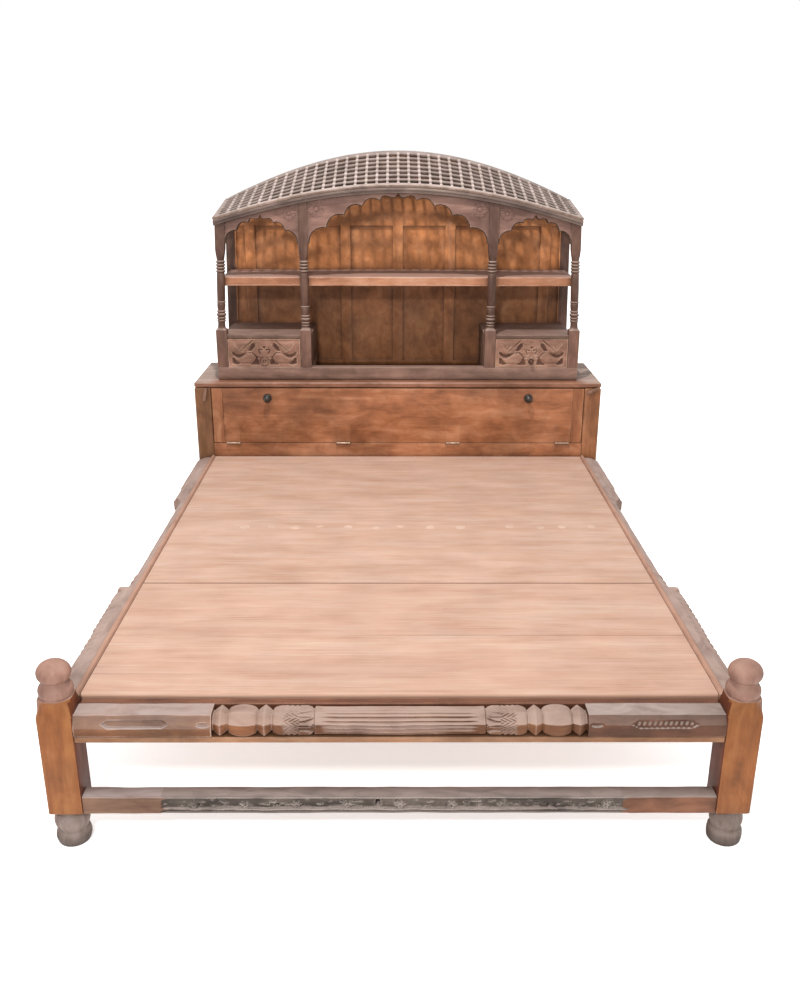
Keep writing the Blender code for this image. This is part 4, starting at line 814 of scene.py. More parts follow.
def add_planks(name, node, widths, shrunk, material, nosing=0.0):
    """Boards glued edge to edge; the joints in shrunk have partly opened; nosing rounds the front."""
    low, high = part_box(node)
    scale = (high[1] - low[1]) / sum(widths)
    verts = []
    faces = []
    edge = low[1]

    def joint(number, x):
        gap, closed, opened = shrunk.get(number, (0.0, 1.0, 0.0))
        return 0.0002 + gap * float(smooth(closed, opened, x))

    for number, width in enumerate(widths):
        start = edge
        edge += width * scale
        ease = 0.0003
        rings = []
        for x in np.linspace(low[0], high[0], 49):
            near = start + (joint(number - 1, x) if number else 0.0012)
            far = edge - (joint(number, x) if number < len(widths) - 1 else 0.0012)
            top = high[2] - 0.0001 * (1 + noise.noise(Vector((x / 0.4, number * 7.3, 0.0))))
            ring = [(x, near, low[2]), (x, far, low[2]), (x, far, top - ease), (x, far - ease, top)]
            if number == 0 and nosing:
                ring.append((x, near + nosing + 0.004, top))
                ring += [(x, near + nosing * (1 - sin(turn)), top - nosing * (1 - cos(turn)))
                         for turn in np.linspace(0, pi / 2, 7)]
            else:
                ring += [(x, near + ease, top), (x, near, top - ease)]
            rings.append(ring)
        board = skin(rings)
        base = len(verts)
        verts += [tuple(v.co) for v in board.vertices]
        faces += [tuple(base + i for i in face.vertices) for face in board.polygons]
        bpy.data.meshes.remove(board)
    mesh = bpy.data.meshes.new(name)
    mesh.from_pydata(verts, [], faces)
    add_piece(name, mesh, material, "frame", "pale_teak", [node])


# Cabinet

def bow_drop(x):
    share = (x / ROOF_HALF) / BOW_SPREAD
    return (sqrt(1 + share ** 2) - 1) / BOW_AT_END


def roof_under(x, y):
    front = ROOF_CREST - ROOF_FALL - FRONT_BOW * bow_drop(x)
    back = ROOF_CREST - BACK_BOW * bow_drop(x)
    return front + (back - front) * (y - ROOF_Y) / (CABINET_BACK - ROOF_Y) - ROOF_THICK


def cornice_under(x):
    return roof_under(x, ROOF_Y) - CORNICE_TALL


def column_lean(z):
    """How far an outer column has come in at this height."""
    start = COLUMN_FOOT + COLUMN_BLOCK
    return COLUMN_LEAN * max(0.0, z - start) / (cornice_under(ROOF_HALF) - start)


def add_column(name, x):
    """Square block, turned rings, a slim shaft, upper rings and a square head under the cornice."""
    block = 0.023
    shaft = 0.0175
    low = COLUMN_BLOCK
    outer = abs(x) > INNER_COLUMN
    rise = 0.020 if outer else 0.0
    profile = [(0.0, block, 0.0), (low - 0.007, block, 0.0), (low - 0.004, 0.96 * block, 0.05)]
    profile += [(low, 0.82 * block, 0.9), (0.170, 0.95 * shaft, 1.0), (0.172 + 0.5 * rise, 0.88 * shaft, 1.0)]
    beads = ((0.173, 0.010, 1.06), (0.184, 0.011, 1.10), (0.196, 0.016, 1.18), (0.213, 0.010, 1.08))
    for start, length, size in beads:
        profile += [(z + rise, r, 1.0) for z, r in bead(start, length, 0.87 * shaft, (size - 0.87) * shaft)]
    profile += [(0.226 + rise, 0.90 * shaft, 1.0), (0.242 + rise, 1.0 * shaft, 1.0)]
    profile += [(0.252 + rise, 0.97 * shaft, 1.0)]
    profile += [(z + rise, r, 1.0) for z, r in bead(0.2535, 0.0085, 0.90 * shaft, 0.20 * shaft, 6)]
    profile += [(0.264 + rise, 0.96 * shaft, 1.0), (0.330, 0.99 * shaft, 1.0), (0.397, 0.95 * shaft, 1.0)]
    for start in (0.400, 0.413, 0.426, 0.439):
        profile += [(z, r, 1.0) for z, r in bead(start, 0.012, 0.85 * shaft, 0.26 * shaft)]
    profile += [(0.456, 0.92 * shaft, 1.0), (0.462, 0.96 * shaft, 0.8), (0.472, 0.0178, 0.25)]
    profile += [(0.497, 0.0196, 0.05), (0.560, 0.0198, 0.0)]
    rings = turned_up([(COLUMN_FOOT + z, size, rnd) for z, size, rnd in profile], (x, COLUMN_Y), 40)
    rings.append(list(rings[-1]))
    if outer:
        inward = -1 if x > 0 else 1
        rings[-1] = [(u, w, cornice_under(abs(u) - COLUMN_LEAN)) for u, w, _ in rings[-1]]
        rings = [[(u + inward * column_lean(z), w, z) for u, w, z in ring] for ring in rings]
    rings[-1] = [(u, w, cornice_under(u) - SEAT) for u, w, _ in rings[-1]]
    add_piece("turned_" + name, skin(rings), stained_upright, "frame", "dark_cabinet", [name])


def lobe(start, end, swell, steps=10):
    """Points after start, up to end, on an arc that swells to the left of the chord."""
    du = end[0] - start[0]
    dw = end[1] - start[1]
    points = []
    for k in range(1, steps + 1):
        push = swell * 4 * (k / steps) * (1 - k / steps)
        points.append((start[0] + du * k / steps - dw * push, start[1] + dw * k / steps + du * push))
    return points


def ogee(start, end, steps=10):
    """Points after start, up to end, on an S that swells upward and then sinks to the arch's tip."""
    du = end[0] - start[0]
    dw = end[1] - start[1]
    points = []
    for k in range(1, steps + 1):
        push = 0.15 * sin(2 * pi * k / steps)
        outward = -dw * push if du > 0 else dw * push
        points.append((start[0] + du * k / steps + outward, start[1] + dw * k / steps + abs(du) * push))
    return points


def add_arch_board(name, left, right, web, tip, foils):
    """Board with a cusped arch cut in it and a chamfered rim along its lobes, painted dark as shade."""
    low_left = left(SPRINGING)
    low_right = right(SPRINGING)
    middle = (low_left + low_right) / 2
    half = (low_right - low_left) / 2 - 0.005
    rise = cornice_under(middle) - web - tip - SPRINGING
    cusps = []
    for k in range(-foils, foils + 1):
        height = SPRINGING + rise * (1 - (k / foils) ** 2) + (tip if k == 0 else 0.0)
        cusps.append((middle + half * k / foils, height))
    arch = [cusps[0]]
    for k, (start, end) in enumerate(zip(cusps, cusps[1:]), start=1):
        if k == foils:
            arch += ogee(start, end)
        elif k == foils + 1:
            arch += [*reversed(ogee(end, start)), end][1:]
        else:
            arch += lobe(start, end, 0.25)
    rim = 0.0045
    drawn_in = []
    for before, (x, z), after in zip([arch[0], *arch], arch, [*arch[1:], arch[-1]]):
        along = Vector((after[0] - before[0], after[1] - before[1])).normalized()
        drawn_in.append((x - along[1] * rim, min(z + along[0] * rim, cornice_under(x) - 0.0006)))
    top_left = left(cornice_under(low_left))
    top_right = right(cornice_under(low_right))
    top = []
    for k in range(25):
        x = top_right + (top_left - top_right) * k / 24
        top.append((x, cornice_under(x) - SEAT))
    front = ARCH_FACE
    face = [(low_left, SPRINGING), *drawn_in, (low_right, SPRINGING), *top]
    edge = [(low_left, SPRINGING), *arch, (low_right, SPRINGING), *top]
    rings = [[(x, front, z) for x, z in face], [(x, front + 0.8 * rim, z) for x, z in edge]]
    rings.append([(x, front + 0.020, z) for x, z in edge])
    board = add_piece(name + "_cut", skin(rings), arch_teak, "frame", "dark_cabinet", [name])

    # Faces of the cut rim take the painted shade
    def pick(part):
        in_cut = front + 0.0005 < part.center.y < front + 0.019
        return int(in_cut and part.center.z < cornice_under(part.center.x) - 0.0005)

    add_finishes(board, [arch_rim_shade], pick)


def relief_plate(width, height, step, depth_at, place):
    """Closed plate whose face stands depth_at(x, z) proud; x is from its middle and z from its foot."""
    nx = round(width / step) + 1
    nz = round(height / step) + 1
    xs = np.linspace(-width / 2, width / 2, nx)
    zs = np.linspace(0.0, height, nz)
    gx, gz = np.meshgrid(xs, zs)
    proud = depth_at(gx, gz)
    verts = [place(gx[j, i], gz[j, i], proud[j, i]) for j in range(nz) for i in range(nx)]
    verts += [place(gx[j, i], gz[j, i], 0.0) for j in range(nz) for i in range(nx)]
    flat = nx * nz
    faces = []
    for j in range(nz - 1):
        for i in range(nx - 1):
            a = j * nx + i
            faces.append((a, a + 1, a + nx + 1, a + nx))
    rim = [*range(nx)] + [j * nx + nx - 1 for j in range(1, nz)]
    rim += [(nz - 1) * nx + i for i in range(nx - 2, -1, -1)] + [j * nx for j in range(nz - 2, 0, -1)]
    for a, b in zip(rim, rim[1:] + rim[:1]):
        faces.append((a, b, b + flat, a + flat))
    faces.append(tuple(a + flat for a in reversed(rim)))
    mesh = bpy.data.meshes.new("plate")
    mesh.from_pydata(verts, [], faces)
    return mesh


def near_line(x, z, points):
    """Distance to a line through points, in the points' unit."""
    far = np.full(x.shape, 1e9)
    for (ax, az), (bx, bz) in zip(points, points[1:]):
        t = np.clip(((x - ax) * (bx - ax) + (z - az) * (bz - az)) / ((bx - ax) ** 2 + (bz - az) ** 2), 0, 1)
        far = np.minimum(far, np.hypot(x - ax - t * (bx - ax), z - az - t * (bz - az)))
    return far


def inside_outline(x, z, points):
    """Distance inside a closed outline, in the points' unit; below zero outside."""
    closed = points + points[:1]
    within = np.zeros(x.shape, dtype=bool)
    for (ax, az), (bx, bz) in zip(closed, closed[1:]):
        within ^= ((az > z) != (bz > z)) & (x < (bx - ax) * (z - az) / ((bz - az) or 1e-9) + ax)
    far = near_line(x, z, closed)
    return np.where(within, far, -far)


# Places of the pegs across the rear boards, in metres
PEGS = (-0.555, -0.457, -0.370, -0.284, -0.182, -0.081, 0.006, 0.114, 0.223, 0.403, 0.512, 0.591, 0.700)
# Drawer carving in millimetres, one half; the other half mirrors it
FIELD = [(-141, 9), (0.01, 9), (0.01, 121), (-148, 121), (-141, 100)]
# Fan leaf, hump and bell on the field: outline, height, and how far in from its edge the height is reached
FORMS = [
    ([(-142, 118), (-139, 66), (-122, 50), (-108, 47), (-94, 53), (-80, 66), (-52, 116)], 2.8, 18.0),
    ([(-137, 42), (-109, 42), (-79, 58), (-55, 66), (-42, 54), (-36, 36), (-60, 13), (-112, 13)], 2.6, 12.0),
    ([(0.01, 118), (-44, 118), (-40, 100), (-30, 84), (-22, 62), (-34, 43), (-20, 13), (0.01, 13)],
     2.2, 14.0),
]
HOLLOWS = [
    [(-141, 68), (-135, 53), (-122, 43), (-108, 41), (-94, 46), (-77, 62), (-94, 58), (-108, 54), (-122, 56),
     (-132, 63)],
    [(-38, 101), (-47, 104), (-58, 93), (-69, 71), (-58, 69), (-47, 79), (-39, 90)],
    [(-34, 42), (-27, 29), (-22, 11), (-62, 11), (-48, 20), (-40, 31)],
    [(-139, 39), (-129, 39), (-122, 26), (-106, 13), (-122, 10), (-138, 16)],
    [(-22, 76), (-12, 72), (-4, 74), (-14, 78)],
]
GROOVES = [
    [(-128, 104), (-107, 77), (-92, 95)],
    [(-48, 116), (-62, 104), (-96, 70)],
    [(-16, 42), (-34, 43), (-44, 56), (-54, 64), (-66, 62)],
    [(-30, 100), (-20, 84), (-24, 70), (-16, 54)],
]


def drawer_relief(x, z):
    """Fan leaves hung in the corners, two humps under them and an ogee bell between."""
    mx = -np.abs(x) * 1000
    mz = z * 1000
    proud = 5.4 - 1.0 * smooth(0.0, 7.0, inside_outline(mx, mz, FIELD))
    for outline, height, slope in FORMS:
        proud = proud + height * smooth(0.0, slope, inside_outline(mx, mz, outline))
    for hollow in HOLLOWS:
        proud = proud - 6.5 * smooth(-2.5, 3.5, inside_outline(mx, mz, hollow))
    for groove in GROOVES:
        proud = proud - 3.0 * smooth(3.6, 0.4, near_line(mx, mz, groove))
    proud = proud - 4.5 * smooth(7.0, 3.0, np.hypot(mx, mz - 86))
    return np.clip(proud, 1.2, 8.4) / 1000


def flower(x, z, radius, petals):
    """Low flower: a ring of petals round a button."""
    reach = np.hypot(x, z)
    turn = np.arctan2(z, x)
    edge = radius * (0.86 + 0.14 * np.abs(np.cos(petals * turn / 2)))
    petal = smooth(edge, edge - 0.12 * radius, reach) * smooth(0.30 * radius, 0.42 * radius, reach)
    vein = 0.45 * smooth(0.10, 0.0, np.abs(np.sin(petals * turn / 2))) * petal
    button = smooth(0.30 * radius, 0.20 * radius, reach)
    return np.maximum(petal - vein, button)


def left_drawer_relief(x, z):
    seat = np.hypot(x, z - 0.024)
    base = drawer_relief(x, z)
    base = np.where(seat < 0.020, 0.0035, base)
    return base + 0.0045 * flower(x, z - 0.024, 0.0195, 8)


def right_drawer_relief(x, z):
    seat = np.hypot(x, z - 0.026)
    disc = 0.0030 + 0.0025 * smooth(0.0185, 0.0165, seat) - 0.0012 * smooth(0.0150, 0.0135, seat)
    return np.where(seat < 0.0195, disc, drawer_relief(x, z))


def add_drawer_carving(sign, side, shape):
    def place(x, z, proud):
        return (sign * DRAWER_MIDDLE + x, DRAWER_FACE + 0.0004 - proud, CARVING_FOOT + z)

    mesh = relief_plate(0.3116, 0.1219, 0.0017, shape, place)
    body = "drawer_" + side + "_body"
    carving = add_piece("drawer_carving_" + side, mesh, carved_drawer, body, "worn_carving", crease=70)
    # Low faces turned to the front take the sunk ground's painted shade
    add_finishes(carving, [carved_ground_shade],
                 lambda face: int(DRAWER_FACE - 0.0024 < face.center.y and face.normal.y < 0))


def add_knob(name, node, x, face, z, radius, body, material, slot):
    """Turned knob on a round plate with a raised rim."""
    marks = [(0.0, 1.0), (0.06, 1.0), (0.14, 0.97), (0.16, 0.88), (0.12, 0.80), (0.16, 0.66), (0.26, 0.48)]
    marks += [(0.36, 0.42), (0.56, 0.42)]
    marks += [(1.15 + 0.62 * sin(radians(a)), 0.80 * cos(radians(a))) for a in range(-56, 90, 8)]
    rings = []
    for out, size in marks:
        reach = radius * size
        rings.append([(x + reach * u, face - radius * out, z + reach * w) for u, w in section(1.0, 40)])
    add_piece(name, skin(rings), material, body, slot, [node], crease=45)


def add_rosette(name, x, z, radius):
    """Low flower cut beside an arch, with a drilled eye between its petals."""
    front = ARCH_FACE
    rings = []
    steps = 14
    for k in range(steps + 1):
        r = radius * (1 - k / steps)
        ring = []
        for i in range(96):
            angle = 2 * pi * i / 96
            u = r * cos(angle)
            w = r * sin(angle)
            proud = 0.0028 * float(flower(np.array(u), np.array(w), radius, 8))
            eye = np.hypot(u - 0.80 * radius * cos(round(angle / (pi / 4)) * pi / 4),
                           w - 0.80 * radius * sin(round(angle / (pi / 4)) * pi / 4))
            proud -= 0.0020 * max(0.0, 1 - eye / (0.13 * radius))
            ring.append((x + u, front - max(0.0002, proud), z + w))
        rings.append(ring)
    back = [(px, front + 0.0005, pz) for px, _, pz in rings[0]]
    add_piece(name, skin([back, *rings[:-1]]), rosette_teak, "frame", "dark_cabinet", crease=60)


# Roof lattice and pegs, drawn by nodes

def new_tree(name, inputs):
    """Tree with one geometry out and named inputs, given as name: kind; also returns those inputs."""
    tree = bpy.data.node_groups.new(name, "GeometryNodeTree")
    tree.interface.new_socket("Geometry", in_out="OUTPUT", socket_type="NodeSocketGeometry")
    for label, kind in inputs.items():
        tree.interface.new_socket(label, in_out="INPUT", socket_type="NodeSocket" + kind)
    return tree, add(tree, "NodeGroupInput")


def end_tree(tree, made, wood):
    made = add(tree, "GeometryNodeRealizeInstances", [made])[0]
    made = add(tree, "GeometryNodeSetMaterial", {"Geometry": made, "Material": wood})[0]
    add(tree, "NodeGroupOutput", [made])
    return tree


def lattice_tree():
    """Bars along and across a bowed, sloping roof. Inputs are its sizes in metres."""
    sizes = ("Half width", "Front", "Depth", "Bar width", "Bar height", "Edge width", "Back width", "Lift",
             "Row width", "Swell")
    kinds = {**dict.fromkeys(sizes, "Float"), "Bars down": "Int", "Bars across": "Int", "Wood": "Material"}
    tree, given = new_tree("bowed_lattice", kinds)
    half = given["Half width"]
    edge = given["Edge width"]
    tall = given["Bar height"]

    def bars(count, first, pitch, start, end, points, width, height, lift, rubbed, sloped=False,
             crossings=None):
        """A row of bars: one line from start to end, repeated, bent to the roof and given a section."""
        line = add(tree, "GeometryNodeCurvePrimitiveLine", {"Start": start, "End": end})[0]
        line = add(tree, "GeometryNodeResampleCurve", {"Curve": line, "Count": points})[0]
        row = add(tree, "GeometryNodeMeshLine", {"Count": count, "Start Location": first, "Offset": pitch})[0]
        made = add(tree, "GeometryNodeInstanceOnPoints", {"Points": row, "Instance": line})[0]
        made = add(tree, "GeometryNodeRealizeInstances", [made])[0]
        here = add(tree, "ShaderNodeSeparateXYZ", [add(tree, "GeometryNodeInputPosition")[0]])
        spread = add(tree, MATH, [half, BOW_SPREAD], operation="MULTIPLY")[0]
        share = add(tree, MATH, [here["X"], spread], operation="DIVIDE")[0]
        drop = add(tree, MATH, [share, share, 1.0], operation="MULTIPLY_ADD")[0]
        drop = add(tree, MATH, [drop], operation="SQRT")[0]
        drop = add(tree, MATH, [drop, 1.0], operation="SUBTRACT")[0]
        drop = add(tree, MATH, [drop, BOW_AT_END], operation="DIVIDE")[0]
        front_z = add(tree, MATH, [drop, -FRONT_BOW, ROOF_CREST - ROOF_FALL], operation="MULTIPLY_ADD")[0]
        back_z = add(tree, MATH, [drop, -BACK_BOW, ROOF_CREST], operation="MULTIPLY_ADD")[0]
        climb = add(tree, MATH, [back_z, front_z], operation="SUBTRACT")[0]
        slope = add(tree, MATH, [here["Y"], given["Front"]], operation="SUBTRACT")[0]
        slope = add(tree, MATH, [slope, given["Depth"]], operation="DIVIDE")[0]
        top = add(tree, MATH, [climb, slope, front_z], operation="MULTIPLY_ADD")[0]
        middle = add(tree, MATH, [height, -0.5, top], operation="MULTIPLY_ADD")[0]
        middle = add(tree, MATH, [middle, lift], operation="ADD")[0]
        bent = add(tree, "ShaderNodeCombineXYZ", [here["X"], here["Y"], middle])[0]
        made = add(tree, "GeometryNodeSetPosition", {"Geometry": made, "Position": bent})[0]
        made = add(tree, "GeometryNodeSetCurveNormal", {"Curve": made}, mode="Z_UP")[0]
        if sloped:
            tilt = add(tree, MATH, [climb, given["Depth"]], operation="ARCTAN2")[0]
            made = add(tree, "GeometryNodeSetCurveTilt", {"Curve": made, "Tilt": tilt})[0]
        outline = add(tree, "GeometryNodeCurvePrimitiveQuadrilateral", {"Width": width, "Height": height})[0]
        outline = add(tree, "GeometryNodeFilletCurve", {"Curve": outline, "Radius": BAR_ROUNDING, "Count": 3},
                      mode="POLY")[0]
        fullness = 1.0
        if crossings:
            turn = add(tree, MATH, [here["Y"], crossings[0]], operation="SUBTRACT")[0]
            turn = add(tree, MATH, [turn, crossings[1]], operation="DIVIDE")[0]
            turn = add(tree, MATH, [turn, 2 * pi], operation="MULTIPLY")[0]
            wave = add(tree, MATH, [turn], operation="COSINE")[0]
            fullness = add(tree, MATH, [wave, given["Swell"], 1.0], operation="MULTIPLY_ADD")[0]
            # Bars down get painted highlights where they cross and painted shade between
            rubbed = add(tree, MATH, [wave, 0.5, 0.5], operation="MULTIPLY_ADD")[0]
        made = add(tree, "GeometryNodeStoreNamedAttribute",
                   {"Geometry": made, "Name": "knuckle", "Value": rubbed}, data_type="FLOAT",
                   domain="POINT")[0]
        return add(tree, "GeometryNodeCurveToMesh", {"Curve": made, "Profile Curve": outline,
                                                     "Scale": fullness, "Fill Caps": True})[0]

    back = add(tree, MATH, [given["Front"], given["Depth"]], operation="ADD")[0]
    left = add(tree, MATH, [half, -1.0], operation="MULTIPLY")[0]
    half_edge = add(tree, MATH, [edge, 0.5], operation="MULTIPLY")[0]
    half_bar = add(tree, MATH, [given["Bar width"], 0.5], operation="MULTIPLY")[0]
    near = add(tree, MATH, [given["Front"], half_edge], operation="ADD")[0]
    far = add(tree, MATH, [given["Back width"], -0.5, back], operation="MULTIPLY_ADD")[0]
    right_end = add(tree, MATH, [half, half_edge], operation="SUBTRACT")[0]
    left_end = add(tree, MATH, [right_end, -1.0], operation="MULTIPLY")[0]
    end_gap = add(tree, MATH, [right_end, 2.0], operation="MULTIPLY")[0]
    low = add(tree, MATH, [tall, given["Lift"]], operation="SUBTRACT")[0]
    sunk = add(tree, MATH, [given["Lift"], -1.0], operation="MULTIPLY")[0]
    full_width = add(tree, MATH, [half, 2.0], operation="MULTIPLY")[0]
    inner_width = add(tree, MATH, [edge, -2.0, full_width], operation="MULTIPLY_ADD")[0]
    inner_depth = add(tree, MATH, [given["Depth"], edge], operation="SUBTRACT")[0]
    inner_depth = add(tree, MATH, [inner_depth, given["Back width"]], operation="SUBTRACT")[0]
    places = []
    spans = ((inner_width, left, "Bars down"), (inner_depth, given["Front"], "Bars across"))
    for free, outside, count in spans:
        gaps = add(tree, MATH, [given[count], 1.0], operation="ADD")[0]
        pitch = add(tree, MATH, [free, given["Bar width"]], operation="ADD")[0]
        pitch = add(tree, MATH, [pitch, gaps], operation="DIVIDE")[0]
        inside = add(tree, MATH, [outside, edge], operation="ADD")[0]
        step = add(tree, MATH, [pitch, half_bar], operation="SUBTRACT")[0]
        places.append((add(tree, MATH, [inside, step], operation="ADD")[0], pitch))
    (down_first, down_pitch), (row_first, row_pitch) = places
    spots = {"down_first": (down_first, 0.0), "down_pitch": (down_pitch, 0.0), "row_first": (0.0, row_first),
             "row_pitch": (0.0, row_pitch), "near": (0.0, near), "far": (0.0, far), "left": (left, 0.0),
             "right": (half, 0.0), "left_end": (left_end, 0.0), "end_gap": (end_gap, 0.0),
             "front": (0.0, given["Front"]), "back": (0.0, back), "once": (0.0, 1.0)}
    at = {key: add(tree, "ShaderNodeCombineXYZ", place)[0] for key, place in spots.items()}
    across = (at["left"], at["right"], 65)
    # Each row's tenth value is its share of painted light: low for painted shade, as on the bars across
    rows = [
        bars(given["Bars down"], at["down_first"], at["down_pitch"], at["near"], at["far"], 57,
             given["Bar width"], tall, 0.0, 0.0, False, (row_first, row_pitch)),
        bars(given["Bars across"], at["row_first"], at["row_pitch"], *across, given["Row width"], low, sunk,
             0.0, True),
        bars(1, at["near"], at["once"], *across, edge, tall, 0.0, 0.5, True),
        bars(1, at["far"], at["once"], *across, given["Back width"], tall, 0.0, 0.1, True),
        bars(2, at["left_end"], at["end_gap"], at["front"], at["back"], 9, edge, tall, 0.0, 0.35),
    ]
    return end_tree(tree, add(tree, "GeometryNodeJoinGeometry", {0: rows})[0], given["Wood"])


def peg_tree():
    """Pegs driven flush: a low crowned disc on each point, no two of one size."""
    sizes = dict.fromkeys(("Least radius", "Most radius", "Crown"), "Float")
    tree, given = new_tree("flush_pegs", {"Geometry": "Geometry", **sizes, "Seed": "Int", "Wood": "Material"})
    round_end = add(tree, "GeometryNodeMeshUVSphere", {"Segments": 24, "Rings": 10, "Radius": 1.0})[0]
    radius = add(tree, "FunctionNodeRandomValue", {2: given["Least radius"], 3: given["Most radius"],
                                                   "Seed": given["Seed"]})[1]
    scale = add(tree, "ShaderNodeCombineXYZ", [radius, radius, given["Crown"]])[0]
    made = add(tree, "GeometryNodeInstanceOnPoints", {"Points": given["Geometry"], "Instance": round_end,
                                                      "Scale": scale})[0]
    return end_tree(tree, made, given["Wood"])


def from_nodes(name, tree, values, points=()):
    """Run a node tree once with named values, on points if given, and keep the plain mesh."""
    start = bpy.data.meshes.new(name)
    start.from_pydata(points, [], [])
    carrier = bpy.data.objects.new(name, start)
    bpy.context.scene.collection.objects.link(carrier)
    maker = carrier.modifiers.new("maker", "NODES")
    maker.node_group = tree
    for socket in tree.interface.items_tree:
        if socket.in_out == "INPUT" and socket.name in values:
            maker[socket.identifier] = values[socket.name]
    ready = carrier.evaluated_get(bpy.context.evaluated_depsgraph_get())
    mesh = bpy.data.meshes.new_from_object(ready)
    bpy.data.objects.remove(carrier)
    return mesh


def add_lattice():
    mesh = from_nodes("roof_bars", lattice_tree(), {
        "Half width": ROOF_HALF, "Front": ROOF_Y, "Depth": CABINET_BACK - ROOF_Y, "Bar width": 0.0125,
        "Bar height": 0.013, "Edge width": 0.022, "Back width": 0.040, "Lift": 0.0012, "Row width": 0.0185,
        "Swell": 0.18, "Bars down": 33, "Bars across": 6, "Wood": bleached_lattice})
    add_piece("bowed_roof_lattice", mesh, bleached_lattice, "frame", "lattice_teak", ["roof_lattice"])


def add_pegs():
    """A row of pegs over a joist, across the rear boards."""
    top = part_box("platform_rear_panel")[1][2] - 0.0002
    places = [(x, -0.007 + 0.006 * sin(2.3 * number), top) for number, x in enumerate(PEGS)]
    mesh = from_nodes("pegs", peg_tree(), {
        "Least radius": 0.0130, "Most radius": 0.0190, "Crown": 0.0005, "Seed": 4, "Wood": peg_teak}, places)
    add_piece("flush_pegs", mesh, peg_teak, "frame", "pale_teak")


# Dress the frame

def both(node):
    return [node + "_left", node + "_right"]


PLAIN_NODES = [
    (["foot_back_board"], shaded_board),
    (["foot_rail_batten"], batten_teak),
    ([*both("platform_joist"), *both("chest_side")], oiled_along),
    (["chest_front_post_left", *both("chest_back_post")], chest_post_teak),
    (["chest_front_post_right"], chest_post_warm),
    (["chest_back", "chest_bottom"], oiled_lying),
    (both("drawer"), carved_drawer),
    (["cabinet_shelf"], shelf_teak),
    (["chest_top"], chest_top_teak),
    (both("flap_batten"), flap_batten_teak),
    ([f"{leaf}_hinge_leaf_{number}" for number in range(1, 5) for leaf in ("flap", "rail")], varnished_hinge),
]
# Nodes with eased arrises: finish, slot and the width of the easing
EASED_NODES = [
    (both("side_cleat"), cleat_teak, "worn_carving", 0.002),
    (["chest_front_rail", "flap_panel"], oiled_lying, "oiled_teak", 0.0012),
    (both("turn_button"), turn_button_teak, "lattice_teak", 0.0015),
    (["cabinet_base"], plinth_teak, "dark_cabinet", 0.003),
    (both("drawer_case"), case_teak, "dark_cabinet", 0.0015),
    (["cabinet_back"], boards_upright, "back_boards", 0.002),
    (both("back_stile"), stained_upright, "dark_cabinet", 0.002),
    (["cornice"], cornice_teak, "dark_cabinet", 0.0015),
]


def paint(node, material):
    slots = frame["nodes"][node].data.materials
    slots.clear()
    slots.append(material)


for plain_nodes, finish in PLAIN_NODES:
    for plain_node in plain_nodes:
        paint(plain_node, finish)
for eased_nodes, finish, slot_name, ease in EASED_NODES:
    for eased_node in eased_nodes:
        smoothed = eased(eased_node, finish, slot_name, ease)
        if eased_node == "cabinet_back":
            add_finishes(smoothed, [rear_boards], lambda face: int(face.normal.y > 0.5))

for hand, hand_name in ((-1, "left"), (1, "right")):
    add_foot_post(hand, hand_name)
    add_side_rail(hand, hand_name)
    add_column("column_outer_" + hand_name, hand * OUTER_COLUMN)
    add_column("column_inner_" + hand_name, hand * INNER_COLUMN)
    add_knob("iron_flap_knob_" + hand_name, "flap_knob_" + hand_name, hand * FLAP_KNOB_X, FLAP_Y - SEAT,
             FLAP_KNOB_Z, FLAP_KNOB_RADIUS, "flap", blackened_iron, "black_iron")
    for arch, away, level, reach in ROSETTES:
        add_rosette("rosette_" + arch + "_" + hand_name, hand * away, level, reach)
add_arch_board("spandrel_left", lambda z: -OUTER_COLUMN + column_lean(z) + COLUMN_FACE,
               lambda z: -INNER_COLUMN - COLUMN_FACE, 0.0128, 0.020, 3)
add_arch_board("spandrel_centre", lambda z: -INNER_COLUMN + COLUMN_FACE, lambda z: INNER_COLUMN - COLUMN_FACE,
               0.002, 0.023, 5)
add_arch_board("spandrel_right", lambda z: INNER_COLUMN + COLUMN_FACE,
               lambda z: OUTER_COLUMN - column_lean(z) - COLUMN_FACE, 0.0128, 0.020, 3)
add_foot_rail()
add_stretcher()
add_planks("front_planks", "platform_front_panel", (104, 110, 104, 170, 179),
           {2: (0.0007, -0.10, 0.0)}, sanded_front, 0.009)
add_planks("rear_planks", "platform_rear_panel", (142, 128, 136, 121, 128, 140, 131, 133, 127, 146),
           {4: (0.0013, 0.10, -0.05)}, sanded_rear)
add_pegs()
add_drawer_carving(-1, "left", left_drawer_relief)
add_drawer_carving(1, "right", right_drawer_relief)
add_knob("iron_drawer_knob", "drawer_knob", DRAWER_MIDDLE, DRAWER_FACE - 0.0035, DRAWER_KNOB_Z,
         DRAWER_KNOB_RADIUS, "drawer_right_body", browned_iron, "black_iron")
add_lattice()


# Floor, light and camera

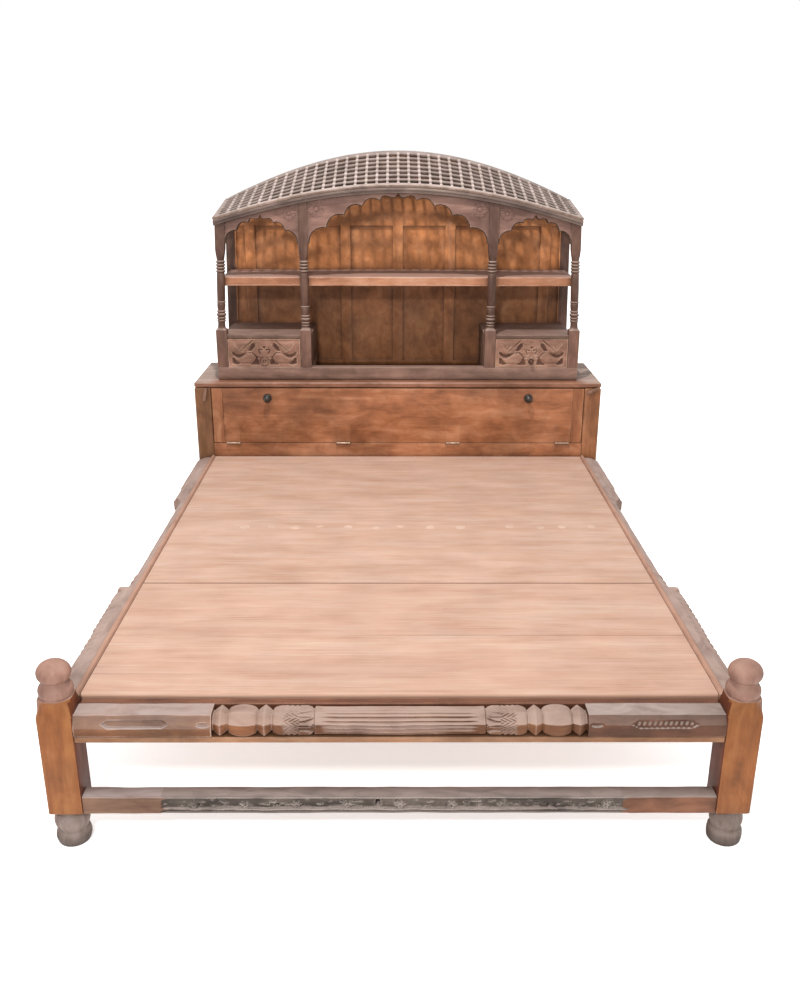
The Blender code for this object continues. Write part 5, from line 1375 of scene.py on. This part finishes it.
def add_stage():
    # Floor, rolled matt paper lit from all sides: an even white with hardly any shadow
    material, tree, shader = new_material("white_paper_sweep")
    coord = add(tree, "ShaderNodeTexCoord")["Object"]
    fibre = add(tree, "ShaderNodeTexNoise", {"Vector": coord, "Scale": 3.0, "Detail": 2.0})[0]
    whites = [(0.3, srgb("F6F5F3")), (0.7, srgb("FAF9F8"))]
    colour = add(tree, "ShaderNodeValToRGB", {"Fac": fibre}, whites)[0]
    tree.links.new(colour, shader.inputs["Base Color"])
    shader.inputs["Roughness"].default_value = 0.9
    shader.inputs["Specular IOR Level"].default_value = 0.1
    shader.inputs["Emission Color"].default_value = (1.0, 1.0, 1.0, 1.0)
    shader.inputs["Emission Strength"].default_value = 0.5
    mesh = bpy.data.meshes.new("floor")
    mesh.from_pydata([(-30, -30, 0), (30, -30, 0), (30, 30, 0), (-30, 30, 0)], [], [(0, 1, 2, 3)])
    mesh.materials.append(material)
    floor = bpy.data.objects.new("floor", mesh)
    bpy.context.scene.collection.objects.link(floor)


def add_light(name, place, aim, size, power, tint="FFFFFF"):
    data = bpy.data.lights.new(name, "AREA")
    data.shape = "DISK"
    data.size = size
    data.energy = power
    data.color = srgb(tint)[:3]
    lamp = bpy.data.objects.new(name, data)
    bpy.context.scene.collection.objects.link(lamp)
    lamp.location = place
    lamp.rotation_euler = (Vector(aim) - Vector(place)).to_track_quat("-Z", "Y").to_euler()


def add_camera():
    tilt = radians(19.9841)
    yaw = radians(0.3226)
    roll = radians(-0.1472)
    ahead = Vector((sin(yaw) * cos(tilt), cos(yaw) * cos(tilt), -sin(tilt)))
    right = Vector((cos(yaw), -sin(yaw), 0.0))
    down = ahead.cross(right)
    across = cos(roll) * right + sin(roll) * down
    downward = -sin(roll) * right + cos(roll) * down
    data = bpy.data.cameras.new("photo_camera")
    data.lens = 35.453
    data.sensor_width = 36.0
    camera = bpy.data.objects.new("photo_camera", data)
    bpy.context.scene.collection.objects.link(camera)
    turn = Matrix((across, -downward, -ahead)).transposed()
    camera.matrix_world = Matrix.Translation((-0.0133, -3.3201, 1.7006)) @ turn.to_4x4()
    bpy.context.scene.camera = camera


add_stage()
sky = bpy.data.worlds.new("white_studio")
sky.use_nodes = True
sky.node_tree.nodes["Background"].inputs["Color"].default_value = (1.0, 1.0, 1.0, 1.0)
sky.node_tree.nodes["Background"].inputs["Strength"].default_value = 1.0
bpy.context.scene.world = sky
bpy.context.scene.view_settings.view_transform = "Standard"
add_light("overhead", (-0.3, -0.4, 4.0), (0.0, 0.6, 0.6), 0.16, 130)
add_light("front_fill", (-0.6, -4.0, 2.9), (0.0, 0.6, 0.8), 0.35, 115)
add_camera()
